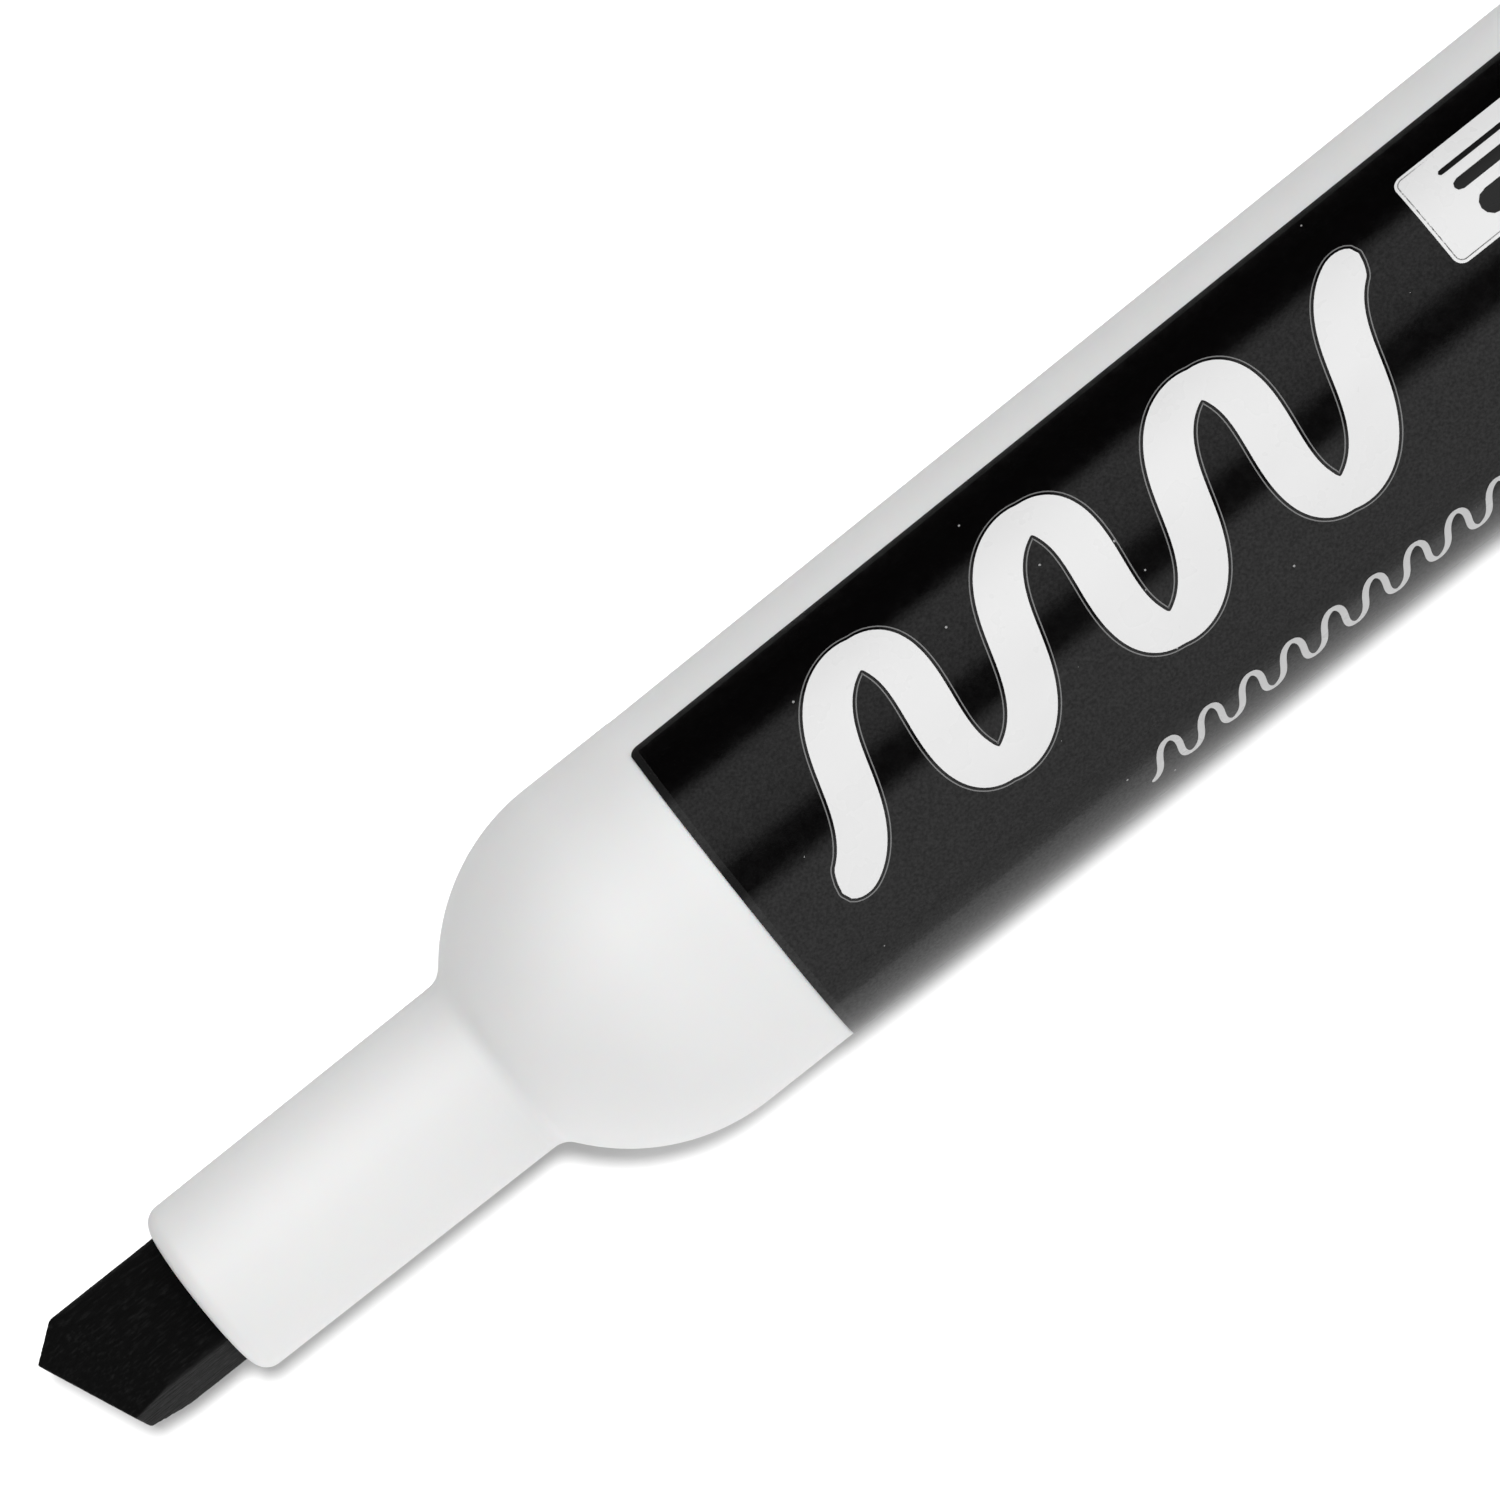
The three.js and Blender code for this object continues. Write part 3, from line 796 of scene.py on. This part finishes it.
def liner_piece():
    floor = LINER_END - LINER_FLOOR
    grip_end = LINER_MOUTH + LINER_GRIP_LENGTH
    flange_end = LINER_MOUTH + LINER_FLANGE
    wide = grip_end + LINER_EASE
    grip = LINER_MOUTH + LINER_FLARE
    rows = [(floor, 0), (floor, LINER_BORE - LINER_INNER_ROUND)]
    rows += inner_corner(floor, LINER_BORE, LINER_INNER_ROUND, 5)
    rows += [(wide, LINER_BORE)]
    rows += curve((wide, LINER_BORE), (grip_end, LINER_BORE), (grip_end, LINER_GRIP), 5)[1:]
    rows += [(grip, LINER_GRIP)]
    rows += arc(grip, LINER_GRIP + LINER_FLARE, LINER_FLARE, 270, 180, 6)[1:]
    rows += [(LINER_MOUTH, LINER_FLANGE_RADIUS - LINER_FLANGE_EDGE)]
    rows += [(LINER_MOUTH + LINER_FLANGE_EDGE, LINER_FLANGE_RADIUS)]
    rows += [(flange_end, LINER_FLANGE_RADIUS), (flange_end, LINER_RADIUS)]
    rows += arc(
        LINER_END - LINER_END_ROUND, LINER_RADIUS - LINER_END_ROUND, LINER_END_ROUND, 90, 0, 5,
    )
    rows += [(LINER_END, 0)]
    piece = turned("cap_seal_sleeve", rows)
    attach(piece, "cap")
    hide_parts("cap_liner")
    return piece


# ---- Inside the barrel -------------------------------------------------------------------------

SLEEVE_THICKNESS = 0.14
BREATHER_RADIUS = 0.6
BREATHER_BORE = 0.3
BREATHER_SIDES = 32


def tube_rows(start, end, outer, inner):
    return [(start, inner), (start, outer), (end, outer), (end, inner)]


def sleeve_piece():
    outer = (film_high.z - film_low.z) / 2 / MM
    rows = tube_rows(along(film_low.x), along(film_high.x), outer, outer - SLEEVE_THICKNESS)
    piece = turned("reservoir_sleeve", rows)
    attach(piece, "marker")
    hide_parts("reservoir_film")
    return piece


def breather_piece():
    middle = (breather_low.z + breather_high.z) / 2
    rows = tube_rows(along(breather_low.x), along(breather_high.x), BREATHER_RADIUS, BREATHER_BORE)
    piece = turned("air_tube", rows, BREATHER_SIDES, offset=(middle - AXIS_Z) / MM)
    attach(piece, "marker")
    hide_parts("breather_tube")
    return piece


# ---- Materials ---------------------------------------------------------------------------------


def new_material(name, color, roughness, **more):
    """A material with one shader. more holds the shader's other sockets by their names."""
    material = bpy.data.materials.new(name)
    material.use_nodes = True
    tree = material.node_tree
    shader = next(n for n in tree.nodes if n.type == "BSDF_PRINCIPLED")
    shader.inputs["Base Color"].default_value = (*color, 1)
    shader.inputs["Roughness"].default_value = roughness
    for socket, value in more.items():
        shader.inputs[socket].default_value = value
    return material, tree, shader


def grain(tree, scale, detail=3.0, stretch=(1, 1, 1)):
    """A noise value in the row frame. scale is in cells a metre, and stretch scales each axis."""
    place = tree.nodes.new("ShaderNodeTexCoord")
    fit = tree.nodes.new("ShaderNodeMapping")
    fit.inputs["Scale"].default_value = stretch
    made = tree.nodes.new("ShaderNodeTexNoise")
    made.inputs["Scale"].default_value = scale
    made.inputs["Detail"].default_value = detail
    tree.links.new(place.outputs["Object"], fit.inputs["Vector"])
    tree.links.new(fit.outputs["Vector"], made.inputs["Vector"])
    return made.outputs["Fac"]


def spread(tree, value, stops):
    """A colour ramp over a value, from (position, colour) stops."""
    ramp = tree.nodes.new("ShaderNodeValToRGB")
    elements = ramp.color_ramp.elements
    while len(elements) < len(stops):
        elements.new(0.5)
    for element, (position, color) in zip(elements, stops):
        element.position = position
        element.color = (*color, 1)
    tree.links.new(value, ramp.inputs["Fac"])
    return ramp.outputs["Color"]


def grey(level):
    return (level, level, level)


def range_of(tree, value, low, high, start=0.3, end=0.7):
    """A value's start to end spread over another range."""
    fit = tree.nodes.new("ShaderNodeMapRange")
    fit.inputs["From Min"].default_value = start
    fit.inputs["From Max"].default_value = end
    fit.inputs["To Min"].default_value = low
    fit.inputs["To Max"].default_value = high
    tree.links.new(value, fit.inputs["Value"])
    return fit.outputs["Result"]


def rough_surface(tree, shader, *layers):
    """Bump on the shader, from layers of (height, depth in metres) one over the other."""
    normal = None
    for height, depth in layers:
        relief = tree.nodes.new("ShaderNodeBump")
        relief.inputs["Distance"].default_value = depth
        tree.links.new(height, relief.inputs["Height"])
        if normal is not None:
            tree.links.new(normal, relief.inputs["Normal"])
        normal = relief.outputs["Normal"]
    tree.links.new(normal, shader.inputs["Normal"])


def white_plastic():
    """Satin white polypropylene: faint clouding, a fine moulded texture and a little depth."""
    material, tree, shader = new_material(
        "white_plastic", (0.857, 0.857, 0.855), 0.38,
        **{"Subsurface Weight": 0.12, "Subsurface Scale": 0.0012},
    )
    cloud = grain(tree, 90, 2)
    tint = spread(tree, cloud, [(0.3, (0.845, 0.846, 0.845)), (0.7, (0.868, 0.868, 0.865))])
    tree.links.new(tint, shader.inputs["Base Color"])
    rough = range_of(tree, grain(tree, 700, 4), 0.33, 0.43)
    tree.links.new(rough, shader.inputs["Roughness"])
    rough_surface(tree, shader, (grain(tree, 2600, 3), 0.000006))
    return material


def calculate(tree, operation, first, second=None):
    """One step of arithmetic. first and second are values of the tree or plain numbers."""
    step = tree.nodes.new("ShaderNodeMath")
    step.operation = operation
    for socket, value in zip(step.inputs, (first, second)):
        if isinstance(value, bpy.types.NodeSocket):
            tree.links.new(value, socket)
        elif value is not None:
            socket.default_value = value
    return step.outputs[0]


def edge_lip_and_painted_highlight(tree):
    """1 on the film's raised edge, which is painted a little paler as a painted highlight, and 0
    elsewhere.
    """
    place = tree.nodes.new("ShaderNodeTexCoord")
    split = tree.nodes.new("ShaderNodeSeparateXYZ")
    tree.links.new(place.outputs["Object"], split.inputs[0])
    middle = (label_low.x + label_high.x) / 2
    half = (label_high.x - label_low.x) / 2
    off_middle = calculate(tree, "ABSOLUTE", calculate(tree, "SUBTRACT", split.outputs["X"], middle))
    at_end = calculate(tree, "GREATER_THAN", off_middle, half - EDGE_LIP_AND_HIGHLIGHT_WIDTH * MM)
    height = calculate(tree, "SUBTRACT", split.outputs["Z"], AXIS_Z)
    angle = calculate(tree, "ARCTAN2", split.outputs["Y"], height)
    strip = math.radians((BARE_STRIP_FROM + BARE_STRIP_TO) / 2)
    strip_half = math.radians((BARE_STRIP_TO - BARE_STRIP_FROM) / 2) + EDGE_LIP_AND_HIGHLIGHT_WIDTH / SEAT_RADIUS
    off_strip = calculate(tree, "ABSOLUTE", calculate(tree, "SUBTRACT", angle, strip))
    at_side = calculate(tree, "LESS_THAN", off_strip, strip_half)
    return calculate(tree, "MAXIMUM", at_end, at_side)


DUST_CELLS = 900  # a metre
DUST_RADIUS = 0.05  # of a cell
DUST_PATCHES = 1500
DUST_SHARE = 0.6  # the patches' noise has to pass this for a speck to show
DUST_TONE = 0.35


def dust(tree):
    """1 in a few tiny specks, and 0 elsewhere."""
    place = tree.nodes.new("ShaderNodeTexCoord")
    cells = tree.nodes.new("ShaderNodeTexVoronoi")
    cells.inputs["Scale"].default_value = DUST_CELLS
    tree.links.new(place.outputs["Object"], cells.inputs["Vector"])
    near = calculate(tree, "LESS_THAN", cells.outputs["Distance"], DUST_RADIUS)
    few = calculate(tree, "GREATER_THAN", grain(tree, DUST_PATCHES, 0), DUST_SHARE)
    return calculate(tree, "MULTIPLY", near, few)


def label_film():
    """Glossy black film with a raised edge painted paler as a painted highlight, slight orange peel
    and a few white specks of dust.
    """
    material, tree, shader = new_material("label_black", grey(0.0015), 0.15)
    lip_and_highlight_mask = edge_lip_and_painted_highlight(tree)
    # The raised edge is painted paler: a painted highlight along the film's edge step.
    pale = spread(tree, lip_and_highlight_mask, [(0.0, (0.0016, 0.0014, 0.0015)), (1.0, grey(0.012))])
    tint = tree.nodes.new("ShaderNodeMix")
    tint.data_type = "RGBA"
    tree.links.new(dust(tree), tint.inputs["Factor"])
    color_sockets = [socket for socket in tint.inputs if socket.type == "RGBA"]
    tree.links.new(pale, color_sockets[0])
    color_sockets[1].default_value = (*grey(DUST_TONE), 1)
    color_out = next(socket for socket in tint.outputs if socket.type == "RGBA")
    tree.links.new(color_out, shader.inputs["Base Color"])
    rough = range_of(tree, grain(tree, 1800, 5), 0.12, 0.19)
    tree.links.new(rough, shader.inputs["Roughness"])
    shine = range_of(tree, grain(tree, 7000, 2), 0.36, 0.64)
    tree.links.new(shine, shader.inputs["Specular IOR Level"])
    rough_surface(
        tree, shader,
        (grain(tree, 420, 2, (0.35, 1, 1)), 0.000012),
        (grain(tree, 6000, 3), 0.000002),
        (lip_and_highlight_mask, 0.000004),
    )
    return material


def print_ink(name, level):
    """Even ink, a little less glossy than the film."""
    material, tree, shader = new_material(name, grey(level), 0.3)
    tint = spread(tree, grain(tree, 260, 3), [(0.3, grey(level * 0.985)), (0.7, grey(level * 1.01))])
    tree.links.new(tint, shader.inputs["Base Color"])
    rough = range_of(tree, grain(tree, 500, 3), 0.24, 0.34)
    tree.links.new(rough, shader.inputs["Roughness"])
    return material


def nib_fibre():
    """Black felted fibre, soaked with ink, with its fibres running along the nib."""
    material, tree, shader = new_material(
        "nib_fibre", grey(0.002), 0.85,
        **{"Specular IOR Level": 0.1, "Sheen Weight": 0.034, "Sheen Roughness": 0.5},
    )
    strands = grain(tree, 1, 4, (1500, 9000, 9000))
    patches = grain(tree, 2200, 3)
    both = tree.nodes.new("ShaderNodeMix")
    both.data_type = "FLOAT"
    both.inputs[0].default_value = 0.4
    tree.links.new(strands, both.inputs[2])
    tree.links.new(patches, both.inputs[3])
    tones = [(0.35, grey(0.0006)), (0.52, grey(0.0018)), (0.7, grey(0.011))]
    tint = spread(tree, both.outputs[0], tones)
    tree.links.new(tint, shader.inputs["Base Color"])
    rough = range_of(tree, patches, 0.7, 0.95)
    tree.links.new(rough, shader.inputs["Roughness"])
    rough_surface(tree, shader, (strands, 0.000025), (grain(tree, 6000, 2), 0.00001))
    return material


def black_plastic():
    """Black moulded plastic with a fine spark-eroded grain."""
    material, tree, shader = new_material("black_plastic", grey(0.012), 0.38)
    tint = spread(tree, grain(tree, 220, 3), [(0.3, grey(0.009)), (0.7, grey(0.015))])
    tree.links.new(tint, shader.inputs["Base Color"])
    rough = range_of(tree, grain(tree, 900, 4), 0.32, 0.46)
    tree.links.new(rough, shader.inputs["Roughness"])
    rough_surface(tree, shader, (grain(tree, 3800, 3), 0.00001))
    return material


def natural_plastic():
    """Undyed, slightly waxy plastic of the liner and the air tube."""
    material, tree, shader = new_material(
        "natural_plastic", (0.76, 0.76, 0.7), 0.45,
        **{"Subsurface Weight": 0.25, "Subsurface Scale": 0.001},
    )
    tint = spread(tree, grain(tree, 150, 3), [(0.3, (0.74, 0.74, 0.68)), (0.7, (0.79, 0.79, 0.74))])
    tree.links.new(tint, shader.inputs["Base Color"])
    rough = range_of(tree, grain(tree, 800, 3), 0.4, 0.52)
    tree.links.new(rough, shader.inputs["Roughness"])
    rough_surface(tree, shader, (grain(tree, 3000, 3), 0.000008))
    return material


def reservoir_fibre():
    """Crimped fibre, stained dark by the ink."""
    material, tree, shader = new_material("reservoir_fibre", grey(0.02), 0.9)
    strands = grain(tree, 1, 4, (900, 5000, 5000))
    tint = spread(tree, strands, [(0.35, grey(0.006)), (0.7, (0.05, 0.05, 0.06))])
    tree.links.new(tint, shader.inputs["Base Color"])
    rough_surface(tree, shader, (strands, 0.00008))
    return material


def clear_film():
    """Thin clear film, smeared with ink where the fibre touches it."""
    material, tree, shader = new_material(
        "clear_film", (0.75, 0.77, 0.79), 0.2, **{"Alpha": 0.45, "IOR": 1.5},
    )
    smear = spread(tree, grain(tree, 180, 4), [(0.4, (0.78, 0.8, 0.82)), (0.65, (0.3, 0.31, 0.33))])
    tree.links.new(smear, shader.inputs["Base Color"])
    rough = range_of(tree, grain(tree, 600, 3), 0.15, 0.3)
    tree.links.new(rough, shader.inputs["Roughness"])
    return material


def plain_material(name, level):
    """An even matt surface for a plane that the camera doesn't see."""
    material, _, shader = new_material(name, grey(level), 1.0)
    shader.inputs["Specular IOR Level"].default_value = 0.0
    return material


def floor_paper():
    """Plain white paper."""
    material, tree, shader = new_material("floor_paper", grey(0.62), 1.0)
    shader.inputs["Specular IOR Level"].default_value = 0.0
    tint = spread(tree, grain(tree, 12, 2), [(0.3, grey(0.61)), (0.7, grey(0.63))])
    tree.links.new(tint, shader.inputs["Base Color"])
    return material


def paint(piece, material):
    piece.data.materials.clear()
    piece.data.materials.append(material)


# ---- Light, floor and camera -------------------------------------------------------------------

# The sky is made of bands along X. Each band is (angle, level), the angle in degrees from straight up
# towards -Y. GLOSS_BANDS are what the glossy surfaces reflect: two soft boxes beside the marker with a
# dark gap overhead. SOFT_BANDS are the even light that falls on everything.
GLOSS_BANDS = [
    (-180, 0.005), (-61.5, 0.005), (-53, 0.63), (-30, 0.6), (-12, 0.44), (-5, 0.005),
    (12, 0.005), (21, 0.74), (60, 0.74), (90, 0.58), (100, 0.5), (180, 0.5),
]
SOFT_BANDS = [
    (-180, 0), (-93, 0.05), (-90, 0.3), (-60, 0.86), (-30, 1.25), (0, 1.4), (30, 0.31), (60, 0.005),
    (90, 0.4), (93, 1.2), (180, 0.9),
]
SOFT_STRENGTH = 1.49
UNLIT_SIDE = (-0.452, 0.892, 0)  # the even light doesn't come from this side
UNLIT_FROM = 0.51  # the share of that side in a direction where the light starts to fade
UNLIT_TO = 0.6
GLOSS_END_FROM = 0.3  # the soft boxes fade out from this share of -X in a direction
GLOSS_END_TO = 0.75
SKY_SHOWN = 0.93  # the backdrop's tone
SHADOW_SUN = 4.4  # strength
SHADOW_SUN_SIZE = 5.8  # degrees
SHADOW_SHIFT = (-0.112, -0.076)  # how far the shadow moves along X and Y for each unit of height
FLOOR_HALF = 3.0
BOUNCE_DROP = 0.0002  # how far the bounce strips lie under the floor
BOUNCE_LEVELS = {"dim": 0.5, "pale": 0.82, "dark": 0.01}
DARK_FROM = 0.052  # the bounce is dark from here towards +Y
DIM_FROM = 0.045  # and dimmer from here towards -Y

CAMERA_HEIGHT = 420  # above the marker's axis
CAMERA_OVER = 40.78  # the u that the camera stands over
CAMERA_AIM = 33.48  # the u that it looks at
CAMERA_SIDE = 3.84  # how far to the +Y side of the axis it aims
CAMERA_TURN = 38.4  # degrees of the marker's axis in the picture
VIEW_WIDTH = 65.2  # how much of the marker's plane the picture takes in
SENSOR = 36.0


def band_color(tree, share, bands):
    stops = [((angle + 180) / 360, grey(level)) for angle, level in bands]
    return spread(tree, share, stops)


def studio_sky():
    """The sky's bands, and a plain pale backdrop where the camera sees it."""
    world = bpy.data.worlds.new("studio")
    bpy.context.scene.world = world
    world.use_nodes = True
    tree = world.node_tree
    output = next(n for n in tree.nodes if n.type == "OUTPUT_WORLD")
    place = tree.nodes.new("ShaderNodeTexCoord")
    split = tree.nodes.new("ShaderNodeSeparateXYZ")
    tree.links.new(place.outputs["Generated"], split.inputs[0])
    towards = calculate(tree, "MULTIPLY", split.outputs["Y"], -1)
    turn = calculate(tree, "ARCTAN2", towards, split.outputs["Z"])
    share = range_of(tree, turn, 0, 1, -math.pi, math.pi)
    path = tree.nodes.new("ShaderNodeLightPath")
    soft = next(n for n in tree.nodes if n.type == "BACKGROUND")
    tree.links.new(band_color(tree, share, SOFT_BANDS), soft.inputs["Color"])
    side = tree.nodes.new("ShaderNodeVectorMath")
    side.operation = "DOT_PRODUCT"
    side.inputs[1].default_value = UNLIT_SIDE
    tree.links.new(place.outputs["Generated"], side.inputs[0])
    strength = range_of(tree, side.outputs["Value"], SOFT_STRENGTH, 0, UNLIT_FROM, UNLIT_TO)
    tree.links.new(strength, soft.inputs["Strength"])
    shown = soft.outputs[0]
    for ray in ("Is Glossy Ray", "Is Camera Ray"):
        background = tree.nodes.new("ShaderNodeBackground")
        if ray == "Is Glossy Ray":
            tree.links.new(band_color(tree, share, GLOSS_BANDS), background.inputs["Color"])
            strength = range_of(tree, split.outputs["X"], 0, 1, -GLOSS_END_TO, -GLOSS_END_FROM)
            tree.links.new(strength, background.inputs["Strength"])
        else:
            background.inputs["Color"].default_value = (*grey(SKY_SHOWN), 1)
        choose = tree.nodes.new("ShaderNodeMixShader")
        tree.links.new(path.outputs[ray], choose.inputs[0])
        tree.links.new(shown, choose.inputs[1])
        tree.links.new(background.outputs[0], choose.inputs[2])
        shown = choose.outputs[0]
    tree.links.new(shown, output.inputs["Surface"])


def flat_plane(name, low, high, z, material):
    mesh = bpy.data.meshes.new(name)
    corners = [(low[0], low[1], z), (high[0], low[1], z), (high[0], high[1], z), (low[0], high[1], z)]
    mesh.from_pydata(corners, [], [(0, 1, 2, 3)])
    piece = bpy.data.objects.new(name, mesh)
    bpy.context.scene.collection.objects.link(piece)
    paint(piece, material)
    return piece


def shadow_sun(floor):
    """A distant light that only lights the shown floor, so the marker's shadow falls beside it."""
    lamp = bpy.data.lights.new("shadow_sun", "SUN")
    lamp.energy = SHADOW_SUN
    lamp.angle = math.radians(SHADOW_SUN_SIZE)
    light = bpy.data.objects.new("shadow_sun", lamp)
    bpy.context.scene.collection.objects.link(light)
    travel = Vector((*SHADOW_SHIFT, -1))
    light.rotation_euler = travel.to_track_quat("-Z", "Y").to_euler()
    group = bpy.data.collections.new("shadow_sun_on")
    group.objects.link(floor)
    light.light_linking.receiver_collection = group


def stage_and_light():
    """The floor that the camera sees, and under it the strips that bounce light to the marker."""
    half = FLOOR_HALF
    floor = flat_plane("floor", (-half, -half), (half, half), 0, floor_paper())
    floor.visible_diffuse = False
    floor.visible_glossy = False
    floor.visible_shadow = False
    for tone, start, end in (
        ("dim", -half, -DIM_FROM),
        ("pale", -DIM_FROM, DARK_FROM),
        ("dark", DARK_FROM, half),
    ):
        name = "bounce_" + tone
        material = plain_material(name, BOUNCE_LEVELS[tone])
        plane = flat_plane(name, (-half, start), (half, end), -BOUNCE_DROP, material)
        plane.visible_camera = False
        plane.visible_shadow = False
    studio_sky()
    shadow_sun(floor)


def place_camera():
    """The camera nearly straight overhead, turned so that the marker runs up to the right."""
    camera = bpy.data.cameras.new("camera")
    camera.sensor_width = SENSOR
    camera.lens = SENSOR * CAMERA_HEIGHT / VIEW_WIDTH
    camera.clip_start, camera.clip_end = 0.01, 10
    eye = bpy.data.objects.new("camera", camera)
    bpy.context.scene.collection.objects.link(eye)
    side = CAMERA_SIDE * MM
    start = Vector((RIM_X + CAMERA_OVER * MM, side, AXIS_Z + CAMERA_HEIGHT * MM))
    aim = Vector((RIM_X + CAMERA_AIM * MM, side, AXIS_Z))
    back = (start - aim).normalized()
    turn = math.radians(CAMERA_TURN)
    right = Vector((math.cos(turn), -math.sin(turn), 0))
    right = (right - back * right.dot(back)).normalized()
    up = back.cross(right)
    eye.matrix_world = Matrix((
        (right.x, up.x, back.x, start.x),
        (right.y, up.y, back.y, start.y),
        (right.z, up.z, back.z, start.z),
        (0, 0, 0, 1),
    ))
    bpy.context.scene.camera = eye


# ---- The marker --------------------------------------------------------------------------------

white = white_plastic()
black = black_plastic()
natural = natural_plastic()

barrel = barrel_piece()
paint(barrel, white)
label = label_piece()
paint(label, label_film())

wave = wave_grid(WAVE_CENTRE, WAVE_LENGTH, WAVE_HEIGHT, WAVE_PERIODS, WAVE_HALF_WIDTH)
panel = panel_grid(PANEL_LOW, PANEL_HIGH, PANEL_CORNER)
print_white = print_layer("print_white", [wave, panel], 0)
paint(print_white, print_ink("ink_white", INK_WHITE))
print_outline = outline_layer("print_outline", [wave, panel])
paint(print_outline, print_ink("ink_outline", INK_OUTLINE))
print_bars = print_layer("print_bars", panel_bars(), 1)
paint(print_bars, print_ink("ink_black", INK_BLACK))
ripple = wave_grid(
    RIPPLE_CENTRE, RIPPLE_LENGTH, RIPPLE_HEIGHT, RIPPLE_PERIODS, RIPPLE_HALF_WIDTH, 2,
)
print_pale = print_layer("print_pale", [ripple, *underside_bars()], 0)
paint(print_pale, print_ink("ink_pale", INK_PALE))

paint(nib_piece(), nib_fibre())
paint(plug_piece(), black)
paint(cap_piece(), black)
paint(liner_piece(), natural)
paint(sleeve_piece(), clear_film())
paint(breather_piece(), natural)
paint(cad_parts["ink_reservoir"], reservoir_fibre())

stage_and_light()
place_camera()
bpy.context.scene.view_settings.view_transform = "Standard"
